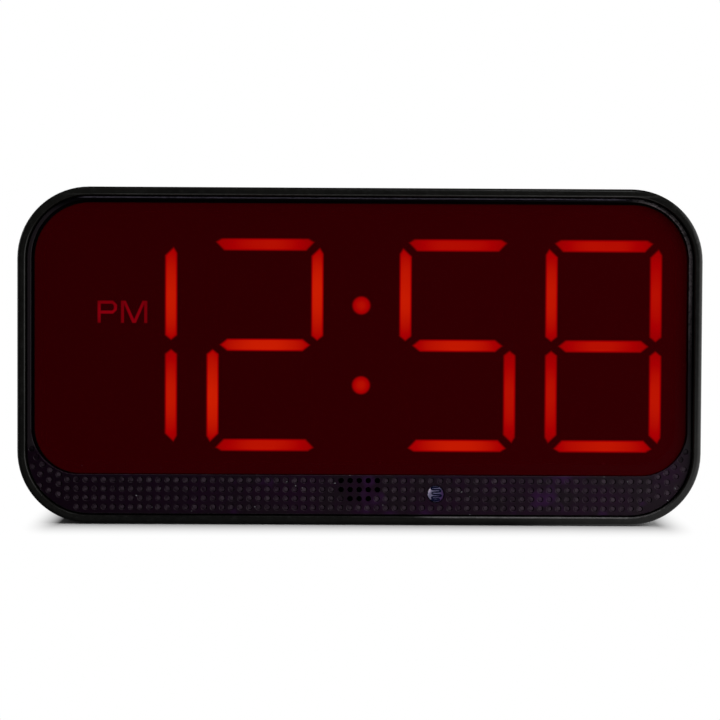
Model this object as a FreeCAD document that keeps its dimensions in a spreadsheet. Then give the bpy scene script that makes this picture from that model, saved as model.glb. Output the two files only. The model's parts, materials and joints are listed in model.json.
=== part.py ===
import FreeCAD, Part
import math
import os
import Sketcher

# A large-digit LED alarm clock, millimetres.
# Local axes of every piece: x to the right as seen from the front, y backwards from the front
# face of the rim, z up from the middle of the case. Each node's Placement then stands the clock
# on its feet, with the origin below the middle of its outline.

SIZES = {
    # digits, as the light openings show them
    "digit_width": 35.0,
    "digit_height": 63.9,
    "segment_width": 3.6,
    "digit_pitch": 43.9,
    "pair_offset": 28.95,
    "end_inset": 3.0,
    "middle_gap": 1.65,
    "tip_depth": 1.05,
    "outer_bevel": 1.7,
    "inner_bevel": 2.4,
    "blunt_bevel": 1.4,
    "bar_shortening": 4.2,
    "bar_bevel": 2.2,
    "segment_thickness": 3.0,
    "segment_fit": 0.05,
    "colon_radius": 2.775,
    "colon_rise": 12.0,
    # PM letters
    "legend_height": 6.75,
    "legend_stroke": 1.0,
    "p_width": 5.9,
    "m_width": 8.0,
    "legend_gap": 1.1,
    "legend_side_gap": 5.3,
    "legend_rise": 9.75,
    "legend_thickness": 0.9,
    "legend_chamber_margin": 1.2,
    # red window and its recess
    "window_side_margin": 7.6,
    "window_top_margin": 10.5,
    "window_bottom_margin": 6.9,
    "window_thickness": 1.5,
    "window_gap_wide": 0.9,
    "window_gap_narrow": 0.1,
    "window_recess": 0.7,
    "window_chamfer": 0.2,
    "recess_top_radius": 17.5,
    "recess_bottom_radius": 14.0,
    "recess_ledge": 3.4,
    # front panel
    "panel_side_strip": 1.35,
    "panel_top_strip": 1.1,
    "panel_bottom_strip": 11.9,
    "panel_thickness": 3.2,
    "panel_recess": 1.5,
    "panel_radius": 18.8,
    "panel_edge_radius": 0.4,
    "recess_edge_radius": 0.2,
    "sound_hole_radius": 0.825,
    "dot_pitch": 2.73,
    "dot_row_drop": 1.6,
    "sensor_x": 23.0,
    "sensor_drop": 5.55,
    # rim and frame
    "groove": 0.3,
    "rim_wall": 2.45,
    "rim_edge_radius": 1.25,
    "rim_inner_radius": 0.45,
    "ledge_width": 4.4,
    "ledge_thickness": 1.6,
    "frame_overlap": 3.2,
    "corner_boss_radius": 3.0,
    "corner_boss_inset": 4.7,
    "case_pilot_radius": 1.5,
    "case_pilot_depth": 9.0,
    "post_radius": 2.3,
    "post_x": 60.0,
    "post_inset": 3.2,
    "post_pilot_radius": 1.0,
    "post_pilot_depth": 5.0,
    # light wells and display board
    "display_gap": 0.5,
    "mask_thickness": 1.2,
    "mask_fit": 0.3,
    "reflector_depth": 9.0,
    "reflector_wall": 3.4,
    "reflector_corner": 13.0,
    "board_thickness": 1.6,
    "board_side_gap": 8.5,
    "board_edge_gap": 0.6,
    "board_corner": 24.0,
    "board_hole_radius": 1.1,
    "led_size": 2.8,
    "led_height": 1.2,
    # light sensor and buzzer
    "sensor_radius": 2.5,
    "sensor_fit": 0.15,
    "sensor_thickness": 2.0,
    "sensor_recess": 0.3,
    "lead_radius": 0.25,
    "lead_offset": 1.7,
    "lead_tail": 1.0,
    "buzzer_radius": 6.0,
    "buzzer_height": 6.5,
    "buzzer_port_radius": 1.2,
    "buzzer_port_depth": 2.0,
    "buzzer_pin_offset": 3.3,
    # rear cover
    "cover_inset": 2.0,
    "cover_depth": 28.2,
    "cover_wall": 2.2,
    "cover_edge_radius": 4.5,
    "tongue_length": 2.0,
    "tongue_fit": 0.15,
    "tube_radius": 4.0,
    "tube_gap": 0.2,
    "counterbore_radius": 3.0,
    "counterbore_floor": 8.0,
    "case_hole_radius": 1.6,
    "vent_length": 26.0,
    "vent_height": 1.8,
    "vent_pitch": 4.2,
    # main board
    "main_board_gap": 8.0,
    "main_board_width": 124.0,
    "main_board_height": 62.0,
    "main_board_rise": 6.0,
    "main_post_inset": 5.0,
    "main_post_radius": 3.0,
    "main_pilot_radius": 1.0,
    "main_pilot_depth": 6.0,
    # rear buttons
    "button_radius": 4.0,
    "button_fit": 0.2,
    "button_proud": 0.8,
    "button_travel": 0.8,
    "button_flange": 1.2,
    "button_pitch": 16.0,
    "button_first_x": -40.0,
    "button_rise": 20.0,
    "button_stem_radius": 1.4,
    "switch_size": 6.0,
    "switch_height": 3.5,
    "inner_clearance": 0.3,
    "plunger_radius": 1.75,
    "plunger_fit": 0.05,
    "plunger_proud": 1.4,
    # snooze bar
    "snooze_length": 69.4,
    "snooze_width": 11.4,
    "snooze_fit": 0.3,
    "snooze_corner": 3.0,
    "snooze_proud": 1.0,
    "snooze_travel": 1.2,
    "snooze_flange": 1.5,
    "snooze_y": 30.0,
    "snooze_switch_depth": 4.5,
    # alarm slide switch
    "slide_x": 36.0,
    "slide_travel": 3.0,
    "knob_length": 3.0,
    "knob_height": 2.8,
    "knob_fit": 0.3,
    "slide_body_length": 9.0,
    "slide_body_height": 4.4,
    "slide_body_depth": 3.6,
    "slide_stem": 2.0,
    # backup cell and its cap
    "cell_radius": 10.0,
    "cell_thickness": 3.2,
    "cell_fit": 0.15,
    "holder_wall": 1.35,
    "holder_floor": 1.0,
    "holder_rim": 1.92,
    "contact_thickness": 0.45,
    "contact_width": 5.0,
    "contact_gap": 0.3,
    "cell_x": 36.0,
    "cell_rise": -8.0,
    "cap_radius": 13.0,
    "cap_fit": 0.2,
    "cap_thickness": 2.0,
    "lug_reach": 2.0,
    "lug_width": 7.0,
    "lug_thickness": 1.3,
    "lug_fit": 0.3,
    "coin_slot_length": 14.0,
    "coin_slot_width": 2.0,
    # power jack
    "jack_x": -46.0,
    "jack_rise": -4.0,
    "jack_size": 9.0,
    "jack_bore_radius": 3.0,
    "jack_pin_radius": 1.0,
    "jack_pin_setback": 2.0,
    "jack_opening_radius": 3.4,
    # parts on the front of the main board
    "chip_x": 14.0,
    "chip_inset": 19.0,
    "chip_length": 18.0,
    "chip_width": 7.5,
    "chip_height": 2.3,
    "driver_x": 34.0,
    "driver_inset": 17.0,
    "driver_length": 10.0,
    "driver_width": 5.3,
    "driver_height": 1.8,
    "crystal_x": 12.0,
    "crystal_length": 11.0,
    "crystal_width": 4.7,
    "crystal_height": 3.5,
    "regulator_edge": 18.0,
    "regulator_inset": 13.0,
    "regulator_length": 9.5,
    "regulator_width": 6.5,
    "large_can_edge": 10.0,
    "large_can_pitch": 12.0,
    "large_can_inset": 27.0,
    "large_can_radius": 4.0,
    "large_can_height": 9.0,
    "small_can_edge": 18.0,
    "small_can_inset": 17.0,
    "small_can_radius": 2.5,
    "small_can_height": 7.0,
    "resistor_x": 22.0,
    "resistor_pitch": 4.0,
    "resistor_inset": 11.0,
    "resistor_length": 2.0,
    "resistor_width": 1.3,
    "resistor_height": 0.6,
    # screws
    "case_screw_radius": 1.45,
    "case_screw_thread": 7.8,
    "case_head_radius": 2.7,
    "small_screw_radius": 0.95,
    "small_screw_reach": 4.0,
    "small_head_radius": 2.1,
    "head_height": 1.1,
    "drive_width": 0.7,
    "drive_depth": 0.7,
    # ribbon cable
    "ribbon_width": 12.7,
    "ribbon_thickness": 0.9,
    "ribbon_rise": 12.0,
    "header_width": 15.0,
    "header_thickness": 3.0,
    "plug_thickness": 2.6,
    "header_height": 5.0,
    # feet and label
    "foot_radius": 5.0,
    "foot_pocket": 0.8,
    "foot_fit": 0.1,
    "foot_stand": 0.3,
    "foot_x": 68.0,
    "front_foot_y": 12.0,
    "rear_foot_y": 33.5,
    "label_width": 46.0,
    "label_height": 16.0,
    "label_thickness": 0.15,
    "label_drop": 34.0,
    # cutting tools reach this far beyond the face they open
    "cut_margin": 1.0,
}
VENT_ROWS = 4
RESISTORS = 8

os.makedirs("parts", exist_ok=True)
doc = FreeCAD.newDocument("led_alarm_clock")
sheet = doc.addObject("Spreadsheet::Sheet", "sizes")
for row, (alias, value) in enumerate(SIZES.items(), 1):
    sheet.set(f"A{row}", alias)
    sheet.set(f"B{row}", str(value))
    sheet.setAlias(f"B{row}", alias)
doc.recompute()


class Size:
    # a length, or a place, as a formula over the sheet together with its present number

    def __init__(self, formula, number):
        self.formula = formula
        self.number = number

    def joined(self, sign, other, number):
        return Size(f"({self.formula} {sign} {as_size(other).formula})", number)

    def __add__(self, other):
        return self.joined("+", other, self.number + as_size(other).number)

    def __sub__(self, other):
        return self.joined("-", other, self.number - as_size(other).number)

    def __mul__(self, other):
        return self.joined("*", other, self.number * as_size(other).number)

    def __truediv__(self, other):
        return self.joined("/", other, self.number / as_size(other).number)

    def __neg__(self):
        return Size(f"(0 - {self.formula})", -self.number)

    def __radd__(self, other):
        return as_size(other) + self

    def __rsub__(self, other):
        return as_size(other) - self

    def __rmul__(self, other):
        return as_size(other) * self


def as_size(value):
    return value if isinstance(value, Size) else Size(f"({float(value)})", float(value))


class Sheet:
    def __getattr__(self, alias):
        return Size(f"sizes.{alias}", SIZES[alias])


s = Sheet()

# ---- faces and outlines worked out from the sheet -------------------------------------------

# depths behind the front of the rim
panel_front = s.panel_recess
panel_back = panel_front + s.panel_thickness
window_front = panel_front + s.window_recess
window_back = window_front + s.window_thickness
ledge_back = panel_back + s.ledge_thickness
display_front = window_back + s.display_gap
mask_back = display_front + s.mask_thickness
board_front = display_front + s.reflector_depth
board_back = board_front + s.board_thickness
frame_back = board_back + s.frame_overlap
tongue_front = frame_back - s.tongue_length
cover_back = frame_back + s.cover_depth
cover_inner = cover_back - s.cover_wall
main_back = cover_inner - s.main_board_gap
main_front = main_back - s.board_thickness
total_depth = cover_back + s.button_proud

# window, recess, panel and rim, from the digits outwards
digits_reach = s.pair_offset + s.digit_pitch + s.digit_width / 2
window_width = 2 * (digits_reach + s.window_side_margin)
window_height = s.digit_height + s.window_top_margin + s.window_bottom_margin
window_gaps = s.window_gap_wide + s.window_gap_narrow
recess_width = window_width + window_gaps
recess_height = window_height + window_gaps
panel_half_width = recess_width / 2 + s.panel_side_strip
panel_half_height = (recess_height + s.panel_top_strip + s.panel_bottom_strip) / 2
rim_half_width = panel_half_width + s.groove
rim_half_height = panel_half_height + s.groove
rim_radius = s.panel_radius + s.groove
case_half_width = rim_half_width + s.rim_wall
case_half_height = rim_half_height + s.rim_wall
case_radius = rim_radius + s.rim_wall

recess_bottom = s.panel_bottom_strip - panel_half_height
recess_top = panel_half_height - s.panel_top_strip
window_left = s.window_gap_wide - recess_width / 2
window_right = recess_width / 2 - s.window_gap_narrow
window_bottom = recess_bottom + s.window_gap_narrow
window_top = recess_top - s.window_gap_wide
display_x = (window_left + window_right) / 2
display_z = window_bottom + s.window_bottom_margin + s.digit_height / 2

ledge_half_width = rim_half_width - s.ledge_width
ledge_half_height = rim_half_height - s.ledge_width
ledge_radius = rim_radius - s.ledge_width

cover_half_width = case_half_width - s.cover_inset
cover_half_height = case_half_height - s.cover_inset
cover_radius = case_radius - s.cover_inset
cavity_half_width = cover_half_width - s.cover_wall
cavity_half_height = cover_half_height - s.cover_wall
cavity_radius = cover_radius - s.cover_wall

# screws stand on the diagonal of each corner
corner_reach = (rim_radius - s.corner_boss_inset) * math.sqrt(0.5)
boss_x = rim_half_width - rim_radius + corner_reach
boss_z = rim_half_height - rim_radius + corner_reach
boss_back = tongue_front - s.tube_gap
counterbore_floor = frame_back + s.counterbore_floor
CORNERS = [(boss_x, boss_z), (-boss_x, boss_z), (boss_x, -boss_z), (-boss_x, -boss_z)]

post_z = ledge_half_height + s.ledge_width - s.post_inset
POSTS = [(s.post_x, post_z), (-s.post_x, post_z), (s.post_x, -post_z), (-s.post_x, -post_z)]

main_half_width = s.main_board_width / 2
main_bottom = s.main_board_rise - s.main_board_height / 2
main_top = s.main_board_rise + s.main_board_height / 2
main_post_x = main_half_width - s.main_post_inset
MAIN_POSTS = [
    (side * main_post_x, level)
    for side in (1, -1)
    for level in (main_bottom + s.main_post_inset, main_top - s.main_post_inset)
]

switch_top = main_back + s.switch_height
plunger_top = switch_top + s.plunger_proud
BUTTONS = ["alarm", "time", "hour", "minute"]
button_xs = [s.button_first_x + index * s.button_pitch for index in range(len(BUTTONS))]

hole_row = recess_bottom - s.dot_row_drop
sensor_z = recess_bottom - s.sensor_drop
buzzer_z = hole_row - s.dot_pitch
sensor_front = panel_front + s.sensor_recess
sensor_back = sensor_front + s.sensor_thickness

foot_bottom = -case_half_height - s.foot_stand

# ---- drawing helpers ------------------------------------------------------------------------

UP = FreeCAD.Vector(0, 0, 1)


def bind(thing, name, size):
    thing.setExpression(name, as_size(size).formula)


def new_sketch(body, name, role, offset):
    plane = next(part for part in body.Origin.OriginFeatures if part.Role == role)
    sketch = body.newObject("Sketcher::SketchObject", name)
    sketch.AttachmentSupport = (plane, [""])
    sketch.MapMode = "FlatFace"
    bind(sketch, "AttachmentOffset.Base.z", offset)
    return sketch


def front_sketch(body, name, depth):
    # the plane's normal points at the viewer, so depth counts against it
    return new_sketch(body, name, "XZ_Plane", -depth)


def level_sketch(body, name, height):
    return new_sketch(body, name, "XY_Plane", height)


def constrain(sketch, kind, size, *where):
    index = sketch.addConstraint(Sketcher.Constraint(kind, *where, as_size(size).number))
    bind(sketch, f"Constraints[{index}]", size)


def pin_point(sketch, edge, point, x, z):
    constrain(sketch, "DistanceX", x, -1, 1, edge, point)
    constrain(sketch, "DistanceY", z, -1, 1, edge, point)


def circle(sketch, x, z, radius):
    x, z, radius = as_size(x), as_size(z), as_size(radius)
    centre = FreeCAD.Vector(x.number, z.number, 0)
    edge = sketch.addGeometry(Part.Circle(centre, UP, radius.number), False)
    pin_point(sketch, edge, 3, x, z)
    constrain(sketch, "Radius", radius, edge)


def polygon(sketch, points):
    corners = [FreeCAD.Vector(as_size(x).number, as_size(z).number, 0) for x, z in points]
    lines = [Part.LineSegment(a, b) for a, b in zip(corners, corners[1:] + corners[:1])]
    first = len(sketch.Geometry)
    count = len(lines)
    sketch.addGeometry(lines, False)
    sketch.addConstraint(
        [
            Sketcher.Constraint("Coincident", first + i, 2, first + (i + 1) % count, 1)
            for i in range(count)
        ]
    )
    for i, (x, z) in enumerate(points):
        pin_point(sketch, first + i, 1, x, z)


def rounded(sketch, left, right, bottom, top, bottom_radius, top_radius=None):
    left, right, bottom, top = (as_size(value) for value in (left, right, bottom, top))
    low = as_size(bottom_radius)
    high = as_size(top_radius or bottom_radius)
    x0, x1, z0, z1 = left.number, right.number, bottom.number, top.number
    a, b = low.number, high.number

    def line(ax, az, bx, bz):
        return Part.LineSegment(FreeCAD.Vector(ax, az, 0), FreeCAD.Vector(bx, bz, 0))

    def corner(x, z, radius, quarter):
        whole = Part.Circle(FreeCAD.Vector(x, z, 0), UP, radius)
        return Part.ArcOfCircle(whole, quarter * math.pi / 2, (quarter + 1) * math.pi / 2)

    first = len(sketch.Geometry)
    sketch.addGeometry(
        [
            line(x0 + a, z0, x1 - a, z0),
            corner(x1 - a, z0 + a, a, -1),
            line(x1, z0 + a, x1, z1 - b),
            corner(x1 - b, z1 - b, b, 0),
            line(x1 - b, z1, x0 + b, z1),
            corner(x0 + b, z1 - b, b, 1),
            line(x0, z1 - b, x0, z0 + a),
            corner(x0 + a, z0 + a, a, 2),
        ],
        False,
    )
    rules = [
        Sketcher.Constraint("Tangent", first + i, 2, first + (i + 1) % 8, 1) for i in range(8)
    ]
    rules += [Sketcher.Constraint("Horizontal", first + i) for i in (0, 4)]
    rules += [Sketcher.Constraint("Vertical", first + i) for i in (2, 6)]
    sketch.addConstraint(rules)
    constrain(sketch, "DistanceX", left, -1, 1, first + 6, 1)
    constrain(sketch, "DistanceX", right, -1, 1, first + 2, 1)
    constrain(sketch, "DistanceY", bottom, -1, 1, first, 1)
    constrain(sketch, "DistanceY", top, -1, 1, first + 4, 1)
    for i, radius in ((1, low), (7, low), (3, high), (5, high)):
        constrain(sketch, "Radius", radius, first + i)


def centred(sketch, half_width, half_height, radius):
    rounded(sketch, -half_width, half_width, -half_height, half_height, radius)


def rectangle(sketch, left, right, bottom, top):
    polygon(sketch, [(left, bottom), (right, bottom), (right, top), (left, top)])


def pad(body, sketch, length, backwards=True):
    feature = body.newObject("PartDesign::Pad", "pad")
    feature.Profile = sketch
    feature.Reversed = backwards
    bind(feature, "Length", length)
    return feature


def pocket(body, sketch, length, flipped=False):
    # cuts backwards from a front sketch and downwards from a level one, unless flipped
    doc.recompute()
    before = body.Tip.Shape.Volume
    feature = body.newObject("PartDesign::Pocket", "pocket")
    feature.Profile = sketch
    feature.Reversed = flipped
    bind(feature, "Length", length)
    doc.recompute()
    if feature.Shape.Volume > before - 0.01:
        raise RuntimeError(f"{body.Name}: {sketch.Name} cuts nothing")
    return feature


def edges_where(shape, wanted):
    return [f"Edge{i}" for i, edge in enumerate(shape.Edges, 1) if wanted(edge.BoundBox)]


def round_edges(body, radius, wanted, kind="Fillet"):
    doc.recompute()
    base = body.Tip
    feature = body.newObject(f"PartDesign::{kind}", kind.lower())
    feature.Base = (base, edges_where(base.Shape, wanted))
    bind(feature, "Radius" if kind == "Fillet" else "Size", radius)
    return feature


def at_depth(depth):
    level = as_size(depth).number
    return lambda box: abs(box.YMin - level) < 1e-4 and abs(box.YMax - level) < 1e-4


def body_named(name):
    return doc.addObject("PartDesign::Body", name + "_body")


def move(thing, x, y, z):
    bind(thing, "Placement.Base.x", x)
    bind(thing, "Placement.Base.y", y)
    bind(thing, "Placement.Base.z", z)


def block(left, right, front, back, bottom, top):
    box = doc.addObject("Part::Box", "block")
    bind(box, "Length", as_size(right) - left)
    bind(box, "Width", as_size(back) - front)
    bind(box, "Height", as_size(top) - bottom)
    move(box, left, front, bottom)
    return box


def centred_block(x, z, width, height, front, back):
    x, z = as_size(x), as_size(z)
    half_width, half_height = as_size(width) / 2, as_size(height) / 2
    return block(x - half_width, x + half_width, front, back, z - half_height, z + half_height)


def rod(x, z, radius, front, back):
    # a round bar that runs from front to back
    bar = doc.addObject("Part::Cylinder", "rod")
    bar.Placement.Rotation = FreeCAD.Rotation(FreeCAD.Vector(1, 0, 0), -90)
    bind(bar, "Radius", radius)
    bind(bar, "Height", as_size(back) - front)
    move(bar, x, front, z)
    return bar


def upright(x, y, radius, bottom, top):
    bar = doc.addObject("Part::Cylinder", "upright")
    bind(bar, "Radius", radius)
    bind(bar, "Height", as_size(top) - bottom)
    move(bar, x, y, bottom)
    return bar


def cut(base, tool):
    result = doc.addObject("Part::Cut", "cut")
    result.Base = base
    result.Tool = tool
    return result


def fuse(*pieces):
    result = doc.addObject("Part::MultiFuse", "fuse")
    result.Shapes = list(pieces)
    return result


def group(pieces):
    result = doc.addObject("Part::Compound", "group")
    result.Links = list(pieces)
    return result


def crossed(x, z, front, back):
    # the cross recess of a screw head
    arm = 2.4 * s.drive_width
    return fuse(
        centred_block(x, z, 2 * arm, s.drive_width, front, back),
        centred_block(x, z, s.drive_width, 2 * arm, front, back),
    )


def screw(x, z, seat, facing, head_radius, shank_radius, reach):
    # facing is +1 for a head towards the rear, -1 for one towards the front
    top = seat + facing * s.head_height
    floor = top - facing * s.drive_depth
    tip = seat - facing * reach
    spans = [(seat, top), (tip, seat), (floor, top)]
    if facing < 0:
        spans = [(back, front) for front, back in spans]
    head = rod(x, z, head_radius, *spans[0])
    shank = rod(x, z, shank_radius, *spans[1])
    return cut(fuse(head, shank), crossed(x, z, *spans[2]))


NODES = []


def node(label, thing, x=0.0, z=0.0):
    if thing.isDerivedFrom("Part::Primitive"):
        thing = group([thing])
    thing.Label = label
    move(thing, x, -total_depth / 2, z - foot_bottom)
    NODES.append(thing)


# ---- display --------------------------------------------------------------------------------

DIGITS = {
    # name: place along the row, lit segments, dark segments
    "hour_tens": (-s.pair_offset - s.digit_pitch, "bc", ""),
    "hour_units": (-s.pair_offset, "abdeg", "cf"),
    "minute_tens": (s.pair_offset, "acdfg", "be"),
    "minute_units": (s.pair_offset + s.digit_pitch, "abcdefg", ""),
}


def segment_shape(letter):
    # outline of one segment about the middle of its digit
    wide, tall, thick = s.digit_width / 2, s.digit_height / 2, s.segment_width
    tip = wide - s.end_inset
    end = tall - s.end_inset
    across = [
        (-tip, tall - s.tip_depth),
        (s.outer_bevel - tip, tall),
        (tip - s.outer_bevel, tall),
        (tip, tall - s.tip_depth),
        (tip - s.inner_bevel, tall - thick),
        (s.inner_bevel - tip, tall - thick),
    ]
    upward = [
        (wide - s.tip_depth, end),
        (wide, end - s.outer_bevel),
        (wide, s.middle_gap + s.blunt_bevel),
        (wide - thick / 2, s.middle_gap),
        (wide - thick, s.middle_gap + s.blunt_bevel),
        (wide - thick, end - s.inner_bevel),
    ]
    bar = wide - s.bar_shortening
    middle = [
        (-bar, thick * 0),
        (s.bar_bevel - bar, thick / 2),
        (bar - s.bar_bevel, thick / 2),
        (bar, thick * 0),
        (bar - s.bar_bevel, -thick / 2),
        (s.bar_bevel - bar, -thick / 2),
    ]
    shape, flip_x, flip_z = {
        "a": (across, 1, 1),
        "b": (upward, 1, 1),
        "c": (upward, 1, -1),
        "d": (across, 1, -1),
        "e": (upward, -1, -1),
        "f": (upward, -1, 1),
        "g": (middle, 1, 1),
    }[letter]
    return [(flip_x * x, flip_z * z) for x, z in shape]


def middle_of(values):
    numbers = [value.number for value in values]
    return (min(numbers) + max(numbers)) / 2


def grown(shape, margin):
    # every corner moved outwards by the margin
    mid_x = middle_of([x for x, z in shape])
    mid_z = middle_of([z for x, z in shape])

    def outwards(value, mid):
        side = (value.number > mid + 0.01) - (value.number < mid - 0.01)
        return value + side * margin

    return [(outwards(x, mid_x), outwards(z, mid_z)) for x, z in shape]


def draw_segments(sketch, column, letters, margin=None):
    for letter in letters:
        shape = segment_shape(letter)
        if margin is not None:
            shape = grown(shape, margin)
        polygon(sketch, [(display_x + column + x, display_z + z) for x, z in shape])


def letter_p():
    # the outer outline of the P and its counter
    high, wide, pen = s.legend_height, s.p_width, s.legend_stroke
    bowl = high - 4 * pen
    bevel = 1.2 * pen
    outer = [
        (wide * 0, high * 0),
        (wide * 0, high),
        (wide - bevel, high),
        (wide, high - bevel),
        (wide, bowl + bevel),
        (wide - bevel, bowl),
        (pen, bowl),
        (pen, high * 0),
    ]
    slope = 0.4 * bevel
    counter = [
        (pen, bowl + pen),
        (pen, high - pen),
        (wide - pen - slope, high - pen),
        (wide - pen, high - pen - slope),
        (wide - pen, bowl + pen + slope),
        (wide - pen - slope, bowl + pen),
    ]
    return outer, counter


def letter_m():
    high, wide, pen = s.legend_height, s.m_width, s.legend_stroke
    notch = 1.2 * pen
    shoulder = 1.5 * pen
    foot = 0.55 * pen
    return [
        (wide * 0, high * 0),
        (wide * 0, high),
        (shoulder, high),
        (wide / 2, notch),
        (wide - shoulder, high),
        (wide, high),
        (wide, high * 0),
        (wide - pen, high * 0),
        (wide - pen, high - notch),
        (wide / 2 + foot, high * 0),
        (wide / 2 - foot, high * 0),
        (pen, high - notch),
        (pen, high * 0),
    ]


legend_right = display_x - digits_reach + s.digit_width - s.segment_width - s.legend_side_gap
legend_left = legend_right - s.m_width - s.legend_gap - s.p_width
legend_bottom = display_z + s.legend_rise - s.legend_height / 2
legend_top = legend_bottom + s.legend_height


def draw_legend(sketch):
    m_left = legend_right - s.m_width
    for left, outlines in ((legend_left, letter_p()), (m_left, [letter_m()])):
        for outline in outlines:
            polygon(sketch, [(left + x, legend_bottom + z) for x, z in outline])


def make_digits():
    for name, (column, lit, dark) in DIGITS.items():
        body = body_named(name)
        sketch = front_sketch(body, name + "_lit", display_front)
        draw_segments(sketch, column, lit)
        pad(body, sketch, s.segment_thickness)
        node(name + "_segments", body)
    body = body_named("unlit")
    sketch = front_sketch(body, "unlit", display_front)
    for column, lit, dark in DIGITS.values():
        draw_segments(sketch, column, dark)
    pad(body, sketch, s.segment_thickness)
    node("unlit_segments", body)

    body = body_named("colon")
    sketch = front_sketch(body, "colon", display_front)
    for side in (1, -1):
        circle(sketch, display_x, display_z + side * s.colon_rise, s.colon_radius)
    pad(body, sketch, s.segment_thickness)
    node("colon_dots", body)

    body = body_named("legend")
    sketch = front_sketch(body, "letters", display_front)
    draw_legend(sketch)
    pad(body, sketch, s.legend_thickness)
    node("pm_legend", body)


def make_reflector():
    body = body_named("reflector")
    plate = front_sketch(body, "mask_plate", display_front)
    inset = s.recess_ledge + s.mask_fit
    rounded(
        plate,
        inset - recess_width / 2,
        recess_width / 2 - inset,
        recess_bottom + inset,
        recess_top - inset,
        s.recess_bottom_radius - inset,
        s.recess_top_radius - inset,
    )
    pad(body, plate, s.mask_thickness)
    core = front_sketch(body, "well_block", mask_back)
    reach_x = digits_reach + s.reflector_wall
    reach_z = s.digit_height / 2 + s.reflector_wall
    rounded(
        core,
        display_x - reach_x,
        display_x + reach_x,
        display_z - reach_z,
        display_z + reach_z,
        s.reflector_corner,
    )
    pad(body, core, board_front - mask_back)
    for name, (column, lit, dark) in DIGITS.items():
        wells = front_sketch(body, name + "_wells", display_front)
        draw_segments(wells, column, lit + dark, s.segment_fit)
        pocket(body, wells, s.reflector_depth)
    wells = front_sketch(body, "colon_wells", display_front)
    for side in (1, -1):
        height = display_z + side * s.colon_rise
        circle(wells, display_x, height, s.colon_radius + s.segment_fit)
    pocket(body, wells, s.reflector_depth)
    letters = front_sketch(body, "letter_seats", display_front)
    draw_legend(letters)
    pocket(body, letters, s.legend_thickness)
    # the light chamber behind the letters stops at a thin web that carries them
    chamber = front_sketch(body, "legend_chamber", mask_back)
    rectangle(
        chamber,
        legend_left - s.legend_chamber_margin,
        legend_right + s.legend_chamber_margin,
        legend_bottom - s.legend_chamber_margin,
        legend_top + s.legend_chamber_margin,
    )
    pocket(body, chamber, board_front - mask_back)
    node("reflector_block", body)


def make_leds():
    places = []
    for column, lit, dark in DIGITS.values():
        for letter in lit + dark:
            shape = segment_shape(letter)
            low_x = min((x for x, z in shape), key=lambda size: size.number)
            high_x = max((x for x, z in shape), key=lambda size: size.number)
            low_z = min((z for x, z in shape), key=lambda size: size.number)
            high_z = max((z for x, z in shape), key=lambda size: size.number)
            places.append((column + (low_x + high_x) / 2, (low_z + high_z) / 2))
    places += [(s.colon_rise * 0, s.colon_rise), (s.colon_rise * 0, -s.colon_rise)]
    front = board_front - s.led_height
    leds = [
        centred_block(display_x + x, display_z + z, s.led_size, s.led_size, front, board_front)
        for x, z in places
    ]
    legend_x, legend_z = (legend_left + legend_right) / 2, (legend_bottom + legend_top) / 2
    leds.append(centred_block(legend_x, legend_z, s.led_size, s.led_size, front, board_front))
    node("segment_leds", group(leds))


def make_display_board():
    body = body_named("display_board")
    outline = front_sketch(body, "board", board_front)
    half_width = rim_half_width - s.board_side_gap
    centred(outline, half_width, rim_half_height - s.board_edge_gap, s.board_corner)
    for x, z in POSTS:
        circle(outline, x, z, s.board_hole_radius)
    for side in (1, -1):
        lead_x = s.sensor_x + side * s.lead_offset
        circle(outline, lead_x, sensor_z, s.lead_radius + s.segment_fit)
        circle(outline, side * s.buzzer_pin_offset, buzzer_z, s.lead_radius + s.segment_fit)
    pad(body, outline, s.board_thickness)
    node("display_board", body)
    node(
        "display_screws",
        group(
            screw(
                x,
                z,
                board_back,
                1,
                s.small_head_radius,
                s.small_screw_radius,
                s.board_thickness + s.small_screw_reach,
            )
            for x, z in POSTS
        ),
    )


def make_sensor_and_buzzer():
    node("light_sensor", rod(s.sensor_x, sensor_z, s.sensor_radius, sensor_front, sensor_back))
    tail = board_back + s.lead_tail
    sides = (1, -1)
    leads = [
        rod(s.sensor_x + side * s.lead_offset, sensor_z, s.lead_radius, sensor_back, tail)
        for side in sides
    ]
    node("light_sensor_leads", group(leads))
    front = board_front - s.buzzer_height
    can = rod(0, buzzer_z, s.buzzer_radius, front, board_front)
    port = rod(0, buzzer_z, s.buzzer_port_radius, front - s.cut_margin, front + s.buzzer_port_depth)
    node("buzzer", cut(can, port))
    pins = [
        rod(side * s.buzzer_pin_offset, buzzer_z, s.lead_radius, board_front, tail)
        for side in sides
    ]
    node("buzzer_pins", group(pins))


# ---- front of the case ----------------------------------------------------------------------


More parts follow.
